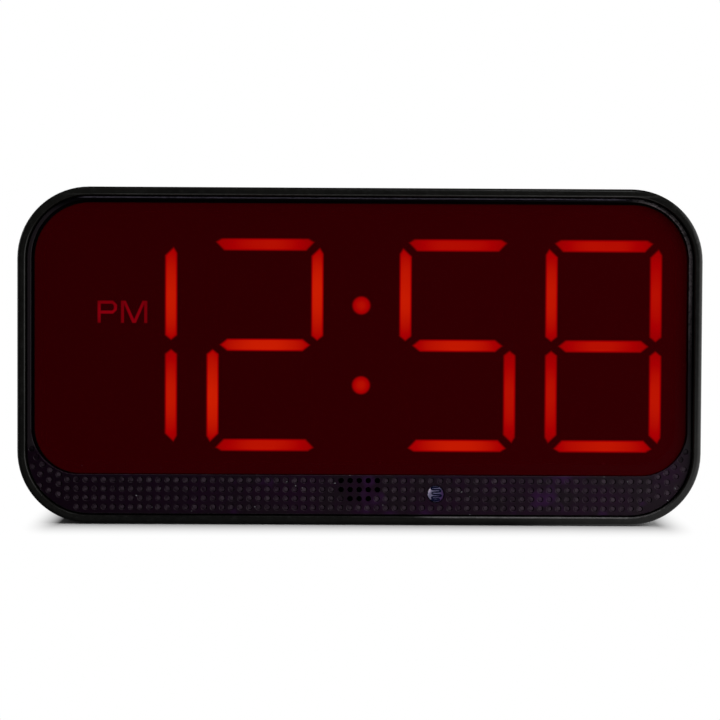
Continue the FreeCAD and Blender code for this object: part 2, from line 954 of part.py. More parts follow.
def make_front_frame():
    body = body_named("front_frame")
    outline = front_sketch(body, "frame_outline", 0)
    centred(outline, case_half_width, case_half_height, case_radius)
    pad(body, outline, frame_back)
    round_edges(body, s.rim_edge_radius, at_depth(0))
    opening = front_sketch(body, "rim_opening", 0)
    centred(opening, rim_half_width, rim_half_height, rim_radius)
    pocket(body, opening, panel_back)

    def rim_corner(box):
        inside = box.XMax < rim_half_width.number + 0.01 and box.XMin > -rim_half_width.number - 0.01
        level = box.ZMax < rim_half_height.number + 0.01 and box.ZMin > -rim_half_height.number - 0.01
        return at_depth(0)(box) and inside and level

    round_edges(body, s.rim_inner_radius, rim_corner)
    ledge = front_sketch(body, "ledge_opening", panel_back)
    centred(ledge, ledge_half_width, ledge_half_height, ledge_radius)
    pocket(body, ledge, frame_back - panel_back)
    cavity = front_sketch(body, "frame_cavity", ledge_back)
    centred(cavity, rim_half_width, rim_half_height, rim_radius)
    pocket(body, cavity, frame_back - ledge_back)

    for name, places, radius, back, pilot, depth in (
        ("corner", CORNERS, s.corner_boss_radius, boss_back, s.case_pilot_radius, s.case_pilot_depth),
        ("board", POSTS, s.post_radius, board_front, s.post_pilot_radius, s.post_pilot_depth),
    ):
        bosses = front_sketch(body, name + "_bosses", ledge_back)
        for x, z in places:
            circle(bosses, x, z, radius)
        pad(body, bosses, back - ledge_back)
        pilots = front_sketch(body, name + "_pilots", back - depth)
        for x, z in places:
            circle(pilots, x, z, pilot)
        pocket(body, pilots, depth)

    seats = level_sketch(body, "front_foot_pockets", -case_half_height)
    for side in (1, -1):
        circle(seats, side * s.foot_x, s.front_foot_y, s.foot_radius + s.foot_fit)
    pocket(body, seats, s.foot_pocket, flipped=True)
    node("front_frame", body)


def make_front_panel():
    body = body_named("front_panel")
    outline = front_sketch(body, "panel_outline", panel_front)
    centred(outline, panel_half_width, panel_half_height, s.panel_radius)
    pad(body, outline, s.panel_thickness)
    round_edges(body, s.panel_edge_radius, at_depth(panel_front))
    recess = front_sketch(body, "window_recess", panel_front)
    half = recess_width / 2
    rounded(
        recess,
        -half,
        half,
        recess_bottom,
        recess_top,
        s.recess_bottom_radius,
        s.recess_top_radius,
    )
    pocket(body, recess, s.window_recess + s.window_thickness)

    def recess_corner(box):
        inside = box.XMax < half.number + 0.01 and box.XMin > -half.number - 0.01
        level = box.ZMax < recess_top.number + 0.01 and box.ZMin > recess_bottom.number - 0.01
        return at_depth(panel_front)(box) and inside and level

    round_edges(body, s.recess_edge_radius, recess_corner)
    opening = front_sketch(body, "display_opening", window_back)
    inset = s.recess_ledge
    rounded(
        opening,
        inset - half,
        half - inset,
        recess_bottom + inset,
        recess_top - inset,
        s.recess_bottom_radius - inset,
        s.recess_top_radius - inset,
    )
    pocket(body, opening, panel_back - window_back)
    holes = front_sketch(body, "sound_holes", panel_front)
    for row, columns in enumerate(((-2, -1, 0, 1, 2), (-2, -1, 0, 1, 2), (-1, 0, 1))):
        for column in columns:
            height = hole_row - row * s.dot_pitch
            circle(holes, column * s.dot_pitch, height, s.sound_hole_radius)
    circle(holes, s.sensor_x, sensor_z, s.sensor_radius + s.sensor_fit)
    pocket(body, holes, s.panel_thickness)
    node("front_panel", body)


def make_window():
    body = body_named("red_window")
    outline = front_sketch(body, "window_outline", window_front)
    rounded(
        outline,
        window_left,
        window_right,
        window_bottom,
        window_top,
        s.recess_bottom_radius - s.window_gap_narrow,
        s.recess_top_radius - s.window_gap_wide,
    )
    pad(body, outline, s.window_thickness)
    round_edges(body, s.window_chamfer, at_depth(window_front), "Chamfer")
    node("red_window", body)


# ---- rear of the case -----------------------------------------------------------------------


def make_rear_cover():
    body = body_named("rear_cover")
    outline = front_sketch(body, "cover_outline", frame_back)
    centred(outline, cover_half_width, cover_half_height, cover_radius)
    pad(body, outline, s.cover_depth)
    round_edges(body, s.cover_edge_radius, at_depth(cover_back))
    cavity = front_sketch(body, "cover_cavity", frame_back)
    centred(cavity, cavity_half_width, cavity_half_height, cavity_radius)
    pocket(body, cavity, cover_inner - frame_back)

    tongue = front_sketch(body, "tongue", tongue_front)
    tongue_radius = rim_radius - s.tongue_fit
    centred(tongue, rim_half_width - s.tongue_fit, rim_half_height - s.tongue_fit, tongue_radius)
    centred(tongue, cavity_half_width, cavity_half_height, cavity_radius)
    pad(body, tongue, s.tongue_length)

    tubes = front_sketch(body, "screw_tubes", tongue_front)
    for x, z in CORNERS:
        circle(tubes, x, z, s.tube_radius)
    pad(body, tubes, cover_inner - tongue_front)
    holes = front_sketch(body, "screw_holes", tongue_front)
    for x, z in CORNERS:
        circle(holes, x, z, s.case_hole_radius)
    pocket(body, holes, counterbore_floor - tongue_front)
    sinks = front_sketch(body, "counterbores", counterbore_floor)
    for x, z in CORNERS:
        circle(sinks, x, z, s.counterbore_radius)
    pocket(body, sinks, cover_back - counterbore_floor)

    posts = front_sketch(body, "board_posts", main_back)
    for x, z in MAIN_POSTS:
        circle(posts, x, z, s.main_post_radius)
    pad(body, posts, s.main_board_gap)
    pilots = front_sketch(body, "board_pilots", main_back)
    for x, z in MAIN_POSTS:
        circle(pilots, x, z, s.main_pilot_radius)
    pocket(body, pilots, s.main_pilot_depth)

    openings = front_sketch(body, "rear_openings", cover_inner)
    for x in button_xs:
        circle(openings, x, s.button_rise, s.button_radius + s.button_fit)
    slot_half = (s.knob_length + s.slide_travel) / 2 + s.knob_fit
    slot_rise = s.knob_height / 2 + s.knob_fit
    rectangle(
        openings,
        s.slide_x - slot_half,
        s.slide_x + slot_half,
        s.button_rise - slot_rise,
        s.button_rise + slot_rise,
    )
    circle(openings, s.jack_x, s.jack_rise, s.jack_opening_radius)
    circle(openings, s.cell_x, s.cell_rise, s.cap_radius + s.cap_fit)
    for side in (1, -1):
        for step in range(VENT_ROWS):
            middle = main_bottom - s.vent_height - step * s.vent_pitch
            rectangle(
                openings,
                side * main_post_x - s.vent_length / 2,
                side * main_post_x + s.vent_length / 2,
                middle - s.vent_height / 2,
                middle + s.vent_height / 2,
            )
    pocket(body, openings, s.cover_wall)

    # the lugs pass here once the cap is turned by an eighth of a turn
    notch = front_sketch(body, "lug_notches", cover_inner)
    reach = (s.cap_radius + s.lug_reach + s.lug_fit) * math.sqrt(0.5)
    half = (s.lug_width / 2 + s.lug_fit) * math.sqrt(0.5)
    corners = ((1, 1), (1, -1), (-1, -1), (-1, 1))
    polygon(
        notch,
        [(s.cell_x + u * reach + v * half, s.cell_rise - u * reach + v * half) for u, v in corners],
    )
    pocket(body, notch, s.cover_wall)

    slot = level_sketch(body, "snooze_opening", cavity_half_height)
    half_length = s.snooze_length / 2 + s.snooze_fit
    half_width = s.snooze_width / 2 + s.snooze_fit
    rounded(
        slot,
        -half_length,
        half_length,
        s.snooze_y - half_width,
        s.snooze_y + half_width,
        s.snooze_corner + s.snooze_fit,
    )
    pocket(body, slot, s.cover_wall, flipped=True)
    seats = level_sketch(body, "rear_foot_pockets", -cover_half_height)
    for side in (1, -1):
        circle(seats, side * s.foot_x, s.rear_foot_y, s.foot_radius + s.foot_fit)
    pocket(body, seats, s.foot_pocket, flipped=True)
    node("rear_cover", body)


def make_case_screws():
    reach = counterbore_floor - boss_back + s.case_screw_thread
    screws = [
        screw(x, z, counterbore_floor, 1, s.case_head_radius, s.case_screw_radius, reach)
        for x, z in CORNERS
    ]
    node("case_screws", group(screws))


def make_feet_and_label():
    for name, place, wall in (
        ("front_feet", s.front_foot_y, case_half_height),
        ("rear_feet", s.rear_foot_y, cover_half_height),
    ):
        top = s.foot_pocket - wall
        feet = [
            upright(side * s.foot_x, place, s.foot_radius, foot_bottom, top) for side in (1, -1)
        ]
        node(name, group(feet))
    label = centred_block(
        0,
        -s.label_drop,
        s.label_width,
        s.label_height,
        cover_back,
        cover_back + s.label_thickness,
    )
    node("rating_label", label)


# ---- controls -------------------------------------------------------------------------------


def make_buttons():
    flange_back = cover_inner - s.inner_clearance
    flange_front = flange_back - s.button_flange
    crown = cover_back + s.button_proud
    bevel = s.button_proud / 2
    rim = s.button_radius + s.button_flange
    bodies = []
    for name, x in zip(BUTTONS, button_xs):
        body = body_named(name + "_button")
        profile = level_sketch(body, name + "_profile", 0)
        polygon(
            profile,
            [
                (0, plunger_top),
                (s.button_stem_radius, plunger_top),
                (s.button_stem_radius, flange_front),
                (rim, flange_front),
                (rim, flange_back),
                (s.button_radius, flange_back),
                (s.button_radius, crown - bevel),
                (s.button_radius - bevel, crown),
                (0, crown),
            ],
        )
        turned = body.newObject("PartDesign::Revolution", "turned")
        turned.Profile = profile
        turned.ReferenceAxis = (profile, ["V_Axis"])
        turned.Angle = 360
        node(name + "_button", body, x, s.button_rise)

        inner = switch_top - s.plunger_proud
        plunger = rod(x, s.button_rise, s.plunger_radius, inner, plunger_top)
        node(name + "_switch_plunger", plunger)
        can = centred_block(x, s.button_rise, s.switch_size, s.switch_size, main_back, switch_top)
        bore_radius = s.plunger_radius + s.plunger_fit
        bore_floor = inner - s.button_travel - s.plunger_fit
        bodies.append(cut(can, rod(x, s.button_rise, bore_radius, bore_floor, switch_top)))
    node("tact_switches", group(bodies))


def make_snooze():
    half_length, half_width = s.snooze_length / 2, s.snooze_width / 2
    flange_top = cavity_half_height - s.inner_clearance
    flange_bottom = flange_top - s.snooze_flange
    crown = cover_half_height + s.snooze_proud
    plunger_y = main_front - s.snooze_switch_depth / 2
    plunger_rise = main_top + s.plunger_proud

    body = body_named("snooze_bar")
    for name, extra, top in (("bar", 0, crown), ("flange", s.snooze_flange, flange_top)):
        sketch = level_sketch(body, name + "_outline", flange_bottom)
        rounded(
            sketch,
            -half_length - extra,
            half_length + extra,
            s.snooze_y - half_width - extra,
            s.snooze_y + half_width + extra,
            s.snooze_corner + extra,
        )
        pad(body, sketch, top - flange_bottom, backwards=False)
    rib = level_sketch(body, "snooze_rib", plunger_rise)
    rib_half = s.plunger_radius
    rectangle(rib, -rib_half, rib_half, plunger_y - rib_half, plunger_y + rib_half)
    pad(body, rib, flange_bottom - plunger_rise, backwards=False)
    level = crown.number
    round_edges(body, s.snooze_proud / 2, lambda box: box.ZMin > level - 1e-4)
    node("snooze_bar", body)

    half = s.switch_size / 2
    front = main_front - s.snooze_switch_depth
    can = block(-half, half, front, main_front, main_top - s.switch_size, main_top)
    inner = main_top - s.plunger_proud
    bore_floor = inner - s.snooze_travel - s.plunger_fit
    bore = upright(0, plunger_y, s.plunger_radius + s.plunger_fit, bore_floor, main_top)
    node("snooze_switch", cut(can, bore))
    plunger = upright(0, plunger_y, s.plunger_radius, inner, plunger_rise)
    node("snooze_switch_plunger", plunger)


def make_alarm_slide():
    top = main_back + s.slide_body_depth
    can = centred_block(
        s.slide_x,
        s.button_rise,
        s.slide_body_length,
        s.slide_body_height,
        main_back,
        top,
    )
    floor = main_back + s.slide_body_depth / 3
    track = centred_block(
        s.slide_x,
        s.button_rise,
        s.slide_stem + s.slide_travel + 2 * s.knob_fit,
        s.slide_stem + 2 * s.knob_fit,
        floor,
        top,
    )
    node("alarm_slide_switch", cut(can, track))
    # the knob rests at its off end
    x = s.slide_x - s.slide_travel / 2
    stem = centred_block(
        x, s.button_rise, s.slide_stem, s.slide_stem, floor + s.plunger_fit, cover_inner
    )
    crown = cover_back + s.button_proud
    head = centred_block(x, s.button_rise, s.knob_length, s.knob_height, cover_inner, crown)
    node("alarm_slide_knob", fuse(stem, head))


def make_backup_cell():
    x, z = s.cell_x, s.cell_rise
    holder_radius = s.cell_radius + s.cell_fit + s.holder_wall
    floor = main_back + s.holder_floor
    cell_back = floor + s.cell_thickness
    rim = floor + s.holder_rim
    shell = rod(x, z, holder_radius, main_back, rim)
    node("coin_cell_holder", cut(shell, rod(x, z, s.cell_radius + s.cell_fit, floor, rim)))
    node("coin_cell", rod(x, z, s.cell_radius, floor, cell_back))
    strip = s.contact_thickness
    half = s.contact_width / 2
    outer = x + holder_radius + s.contact_gap
    arm = block(x + half, outer + strip, cell_back, cell_back + strip, z - half, z + half)
    leg = block(outer, outer + strip, main_back, cell_back, z - half, z + half)
    node("cell_contact", fuse(arm, leg))

    lug_back = cover_inner - s.lug_fit
    lug_front = lug_back - s.lug_thickness
    disc_front = cover_back - s.cap_thickness
    disc = rod(x, z, s.cap_radius, disc_front, cover_back)
    core = rod(x, z, s.cap_radius - s.lug_reach / 2, lug_front, disc_front)
    span = 2 * (s.cap_radius + s.lug_reach)
    lugs = centred_block(x, z, span, s.lug_width, lug_front, lug_back)
    slot = centred_block(
        x,
        z,
        s.coin_slot_length,
        s.coin_slot_width,
        cover_back - s.cap_thickness / 2,
        cover_back + s.cut_margin,
    )
    node("battery_cap", cut(fuse(disc, core, lugs), slot))


def make_power_jack():
    x, z = s.jack_x, s.jack_rise
    floor = main_back + s.holder_floor
    front = cover_inner - s.inner_clearance
    can = centred_block(x, z, s.jack_size, s.jack_size, main_back, front)
    bore = rod(x, z, s.jack_bore_radius, floor, front + s.cut_margin)
    node("power_jack", cut(can, bore))
    node("power_jack_pin", rod(x, z, s.jack_pin_radius, floor, front - s.jack_pin_setback))


# ---- main board -----------------------------------------------------------------------------


def make_main_board():
    body = body_named("main_board")
    outline = front_sketch(body, "main_board_outline", main_front)
    rectangle(outline, -main_half_width, main_half_width, main_bottom, main_top)
    for x, z in MAIN_POSTS:
        circle(outline, x, z, s.board_hole_radius)
    pad(body, outline, s.board_thickness)
    node("main_board", body)
    reach = s.board_thickness + s.small_screw_reach
    screws = [
        screw(x, z, main_front, -1, s.small_head_radius, s.small_screw_radius, reach)
        for x, z in MAIN_POSTS
    ]
    node("main_board_screws", group(screws))


def on_main_board(x, z, width, height, thickness):
    # a flat component on the front of the main board
    return centred_block(x, z, width, height, main_front - thickness, main_front)


def can_on_main_board(x, z, radius, height):
    return rod(x, z, radius, main_front - height, main_front)


def make_components():
    row = main_bottom + s.chip_inset
    node("controller_chip", on_main_board(-s.chip_x, row, s.chip_length, s.chip_width, s.chip_height))
    node("crystal", on_main_board(s.crystal_x, row, s.crystal_width, s.crystal_length, s.crystal_height))
    row = main_top - s.driver_inset
    drivers = [
        on_main_board(side * s.driver_x, row, s.driver_length, s.driver_width, s.driver_height)
        for side in (1, -1)
    ]
    node("driver_chips", group(drivers))
    regulator = on_main_board(
        s.regulator_edge - main_half_width,
        main_bottom + s.regulator_inset,
        s.regulator_width,
        s.regulator_length,
        s.chip_height,
    )
    node("voltage_regulator", regulator)
    row = main_bottom + s.large_can_inset
    cans = [
        can_on_main_board(edge - main_half_width, row, s.large_can_radius, s.large_can_height)
        for edge in (s.large_can_edge, s.large_can_edge + s.large_can_pitch)
    ]
    small_x = main_half_width - s.small_can_edge
    row = main_bottom + s.small_can_inset
    cans.append(can_on_main_board(small_x, row, s.small_can_radius, s.small_can_height))
    node("capacitors", group(cans))
    row = main_bottom + s.resistor_inset
    places = [s.resistor_x + s.resistor_pitch * step for step in range(RESISTORS)]
    size = (s.resistor_width, s.resistor_length, s.resistor_height)
    node("resistors", group([on_main_board(x, row, *size) for x in places]))


def make_ribbon():
    half = s.header_width / 2
    across = s.header_thickness / 2
    middle = s.main_board_rise - s.header_thickness
    low, high = middle - across, middle + across
    display_plug = board_back + s.header_height
    main_plug = main_front - s.header_height
    node(
        "ribbon_headers",
        group(
            [
                block(-half, half, board_back, display_plug, low, high),
                block(-half, half, main_plug, main_front, low, high),
            ]
        ),
    )
    display_end = display_plug + s.plug_thickness
    main_end = main_plug - s.plug_thickness
    node(
        "ribbon_plugs",
        group(
            [
                block(-half, half, display_plug, display_end, low, high),
                block(-half, half, main_end, main_plug, low, high),
            ]
        ),
    )
    # the cable leaves both plugs upwards and turns over in one half circle
    first = display_plug + s.plug_thickness / 2
    second = main_plug - s.plug_thickness / 2
    centre = (first + second) / 2
    bend = (second - first) / 2
    inside = s.ribbon_thickness / 2
    turn = high + s.ribbon_rise
    edge = s.ribbon_width / 2

    def across_rod(radius):
        bar = doc.addObject("Part::Cylinder", "across")
        bar.Placement.Rotation = FreeCAD.Rotation(FreeCAD.Vector(0, 1, 0), 90)
        bind(bar, "Radius", radius)
        bind(bar, "Height", s.ribbon_width)
        move(bar, -edge, centre, turn)
        return bar

    ring = cut(across_rod(bend + inside), across_rod(bend - inside))
    spare = edge + s.cut_margin
    low_side = turn - bend - s.cut_margin
    below = block(-spare, spare, first - bend, second + bend, low_side, turn)
    legs = [
        block(-edge, edge, place - inside, place + inside, high, turn)
        for place in (first, second)
    ]
    node("ribbon_cable", fuse(cut(ring, below), *legs))


make_front_frame()
make_front_panel()
make_window()
make_digits()
make_reflector()
make_leds()
make_display_board()
make_sensor_and_buzzer()
make_rear_cover()
make_case_screws()
make_feet_and_label()
make_buttons()
make_snooze()
make_alarm_slide()
make_backup_cell()
make_power_jack()
make_main_board()
make_components()
make_ribbon()

doc.recompute()
for thing in doc.Objects:
    if "Invalid" in thing.State or "Error" in thing.State:
        raise RuntimeError(f"{thing.Name} ({thing.Label}) failed: {thing.State}")
for thing in NODES:
    if thing.Shape.isNull() or not thing.Shape.isValid():
        raise RuntimeError(f"{thing.Label} has no valid shape")
    thing.Shape.exportStep(f"parts/{thing.Label}.step")
print(len(NODES), "nodes")
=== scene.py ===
import json
import math

import bmesh
import bpy
from mathutils import Matrix, Quaternion, Vector


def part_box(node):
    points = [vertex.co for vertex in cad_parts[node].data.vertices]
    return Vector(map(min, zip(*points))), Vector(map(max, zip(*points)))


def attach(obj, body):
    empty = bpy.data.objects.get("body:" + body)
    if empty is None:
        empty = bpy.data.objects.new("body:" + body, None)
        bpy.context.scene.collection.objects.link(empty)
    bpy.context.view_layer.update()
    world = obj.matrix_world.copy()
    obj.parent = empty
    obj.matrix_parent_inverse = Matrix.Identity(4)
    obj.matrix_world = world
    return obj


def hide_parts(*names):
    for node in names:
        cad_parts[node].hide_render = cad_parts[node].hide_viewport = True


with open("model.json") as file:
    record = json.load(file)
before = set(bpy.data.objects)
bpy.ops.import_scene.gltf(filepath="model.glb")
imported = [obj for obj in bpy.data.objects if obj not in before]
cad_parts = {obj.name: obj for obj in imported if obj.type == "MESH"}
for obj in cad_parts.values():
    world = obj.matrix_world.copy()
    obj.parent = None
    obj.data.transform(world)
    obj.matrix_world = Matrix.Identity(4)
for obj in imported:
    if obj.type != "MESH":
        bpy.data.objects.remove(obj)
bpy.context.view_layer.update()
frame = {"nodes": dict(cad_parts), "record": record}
scene = bpy.context.scene
scene.view_settings.view_transform = "Standard"
slotOf = {part["node"]: part["material_slot"] for part in frame["record"]["subparts"]}
mm = 0.001
weld = 0.001 * mm        # corners closer than this are one corner
noiseSpan = (0.3, 0.7)   # nearly all of a noise lies between these levels
flatFrom = 0.9999        # a face counts as flat when its normal has this much of Y
print("frame loaded:", len(frame["nodes"]), "nodes")


# objects and meshes
def addObject(name, data):
    thing = bpy.data.objects.new(name, data)
    scene.collection.objects.link(thing)
    return thing


def meshFrom(name, shape):
    mesh = bpy.data.meshes.new(name)
    shape.to_mesh(mesh)
    shape.free()
    return mesh


def bakedMesh(helper):
    # what a helper object looks like with its modifiers; the helper itself is then removed
    bpy.context.view_layer.update()
    mesh = bpy.data.meshes.new_from_object(helper.evaluated_get(bpy.context.evaluated_depsgraph_get()))
    bpy.data.objects.remove(helper)
    return mesh


def mergedCopy(node):
    shape = bmesh.new()
    shape.from_mesh(frame["nodes"][node].data)
    bmesh.ops.remove_doubles(shape, verts=shape.verts, dist=weld)
    return shape


def middleOf(node):
    low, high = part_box(node)
    return [(start + end) / 2 for start, end in zip(low, high)]


def keepFlats(mesh):
    # a rounded edge doesn't pull the shading of the flat face beside it
    shape = bmesh.new()
    shape.from_mesh(mesh)
    for edge in shape.edges:
        flat = [abs(face.normal.y) > flatFrom for face in edge.link_faces]
        if any(flat) and not all(flat):
            edge.smooth = False
    shape.to_mesh(mesh)
    shape.free()


def makePiece(name, mesh, body, slot, finish=None, sharpFrom=30):
    # one finished piece, at the origin, riding on its body
    mesh.materials.clear()
    mesh.materials.append(materials[finish or slot])
    mesh.shade_smooth()
    mesh.set_sharp_from_angle(angle=math.radians(sharpFrom))
    keepFlats(mesh)
    piece = addObject(name, mesh)
    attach(piece, body)
    return piece


# camera: a long lens, a little above the middle of the case
cameraLook = {
    "place": (-0.0072, -0.8235, 0.0824),
    "pan": 0.518,     # degrees to the right
    "tilt": 2.343,    # degrees down
    "roll": 0.30,
    "lens": 133.8,
    "nearest": 0.05,  # what is closer than this isn't drawn
}


def setCamera(look):
    camera = addObject("studio_camera", bpy.data.cameras.new("studio_camera"))
    pan, tilt, roll = (math.radians(look[name]) for name in ("pan", "tilt", "roll"))
    aim = Vector((math.sin(pan) * math.cos(tilt), math.cos(pan) * math.cos(tilt), -math.sin(tilt)))
    camera.location = look["place"]
    camera.rotation_mode = "QUATERNION"
    camera.rotation_quaternion = aim.to_track_quat("-Z", "Y") @ Quaternion((0, 0, 1), roll)
    camera.data.lens = look["lens"]
    camera.data.clip_start = look["nearest"]
    scene.camera = camera


setCamera(cameraLook)
print("camera set")


# node trees
def setInputs(tree, node, inputs):
    # a socket is linked to the input, and anything else becomes the input's value
    for name, value in inputs.items():
        if isinstance(value, bpy.types.NodeSocket):
            tree.links.new(value, node.inputs[name])
        else:
            node.inputs[name].default_value = value


def addNode(tree, kind, inputs=None, **settings):
    node = tree.nodes.new(kind)
    for name, value in settings.items():
        setattr(node, name, value)
    setInputs(tree, node, inputs or {})
    return node


def startMaterial(name):
    material = bpy.data.materials.new(name)
    material.use_nodes = True
    tree = material.node_tree
    return material, tree, addNode(tree, "ShaderNodeTexCoord").outputs["Object"]


def finishMaterial(material, inputs):
    tree = material.node_tree
    setInputs(tree, tree.nodes["Principled BSDF"], inputs)
    return material


def rgba(colour):
    return (*colour, 1.0)


def mixColours(tree, share, first, second):
    # a Mix node in colour mode keeps its colour sockets at 6 and 7
    return addNode(tree, "ShaderNodeMix", {0: share, 6: first, 7: second}, data_type="RGBA").outputs[2]


def mixNumbers(tree, share, first, second):
    return addNode(tree, "ShaderNodeMix", {0: share, 2: first, 3: second}).outputs[0]


def rampOf(tree, value, stops):
    ramp = addNode(tree, "ShaderNodeValToRGB", {"Fac": value})
    elements = ramp.color_ramp.elements
    while len(elements) < len(stops):
        elements.new(0.5)
    for element, (place, colour) in zip(elements, stops):
        element.position = place
        element.color = rgba(colour)
    return ramp.outputs["Color"]


def mapped(tree, value, low, high, toLow=0.0, toHigh=1.0):
    return addNode(tree, "ShaderNodeMapRange", {
        "Value": value, "From Min": low, "From Max": high, "To Min": toLow, "To Max": toHigh}).outputs[0]


def maths(tree, operation, *values):
    return addNode(tree, "ShaderNodeMath", dict(enumerate(values)), operation=operation).outputs[0]


def vectorMaths(tree, operation, *values):
    node = addNode(tree, "ShaderNodeVectorMath", dict(enumerate(values)), operation=operation)
    return node.outputs["Value" if operation in ("DOT_PRODUCT", "LENGTH") else "Vector"]


def noiseAt(tree, place, scale, detail=2.0, rough=0.5):
    return addNode(tree, "ShaderNodeTexNoise", {
        "Vector": place, "Scale": scale, "Detail": detail, "Roughness": rough}).outputs["Fac"]


def bumpOf(tree, height, depth, **more):
    # the depth is in millimetres
    return addNode(tree, "ShaderNodeBump", {"Height": height, "Distance": depth * mm, **more}).outputs[0]


def specksAt(tree, place, scale, share, size):
    # a few of the cells carry one small round speck
    cells = addNode(tree, "ShaderNodeTexVoronoi", {"Vector": place, "Scale": scale})
    pick = addNode(tree, "ShaderNodeSeparateColor", {"Color": cells.outputs["Color"]})
    chosen = maths(tree, "GREATER_THAN", pick.outputs[0], 1.0 - share)
    radius = maths(tree, "MULTIPLY", pick.outputs[1], size)
    inside = maths(tree, "LESS_THAN", cells.outputs["Distance"], radius)
    return maths(tree, "MULTIPLY", chosen, inside)


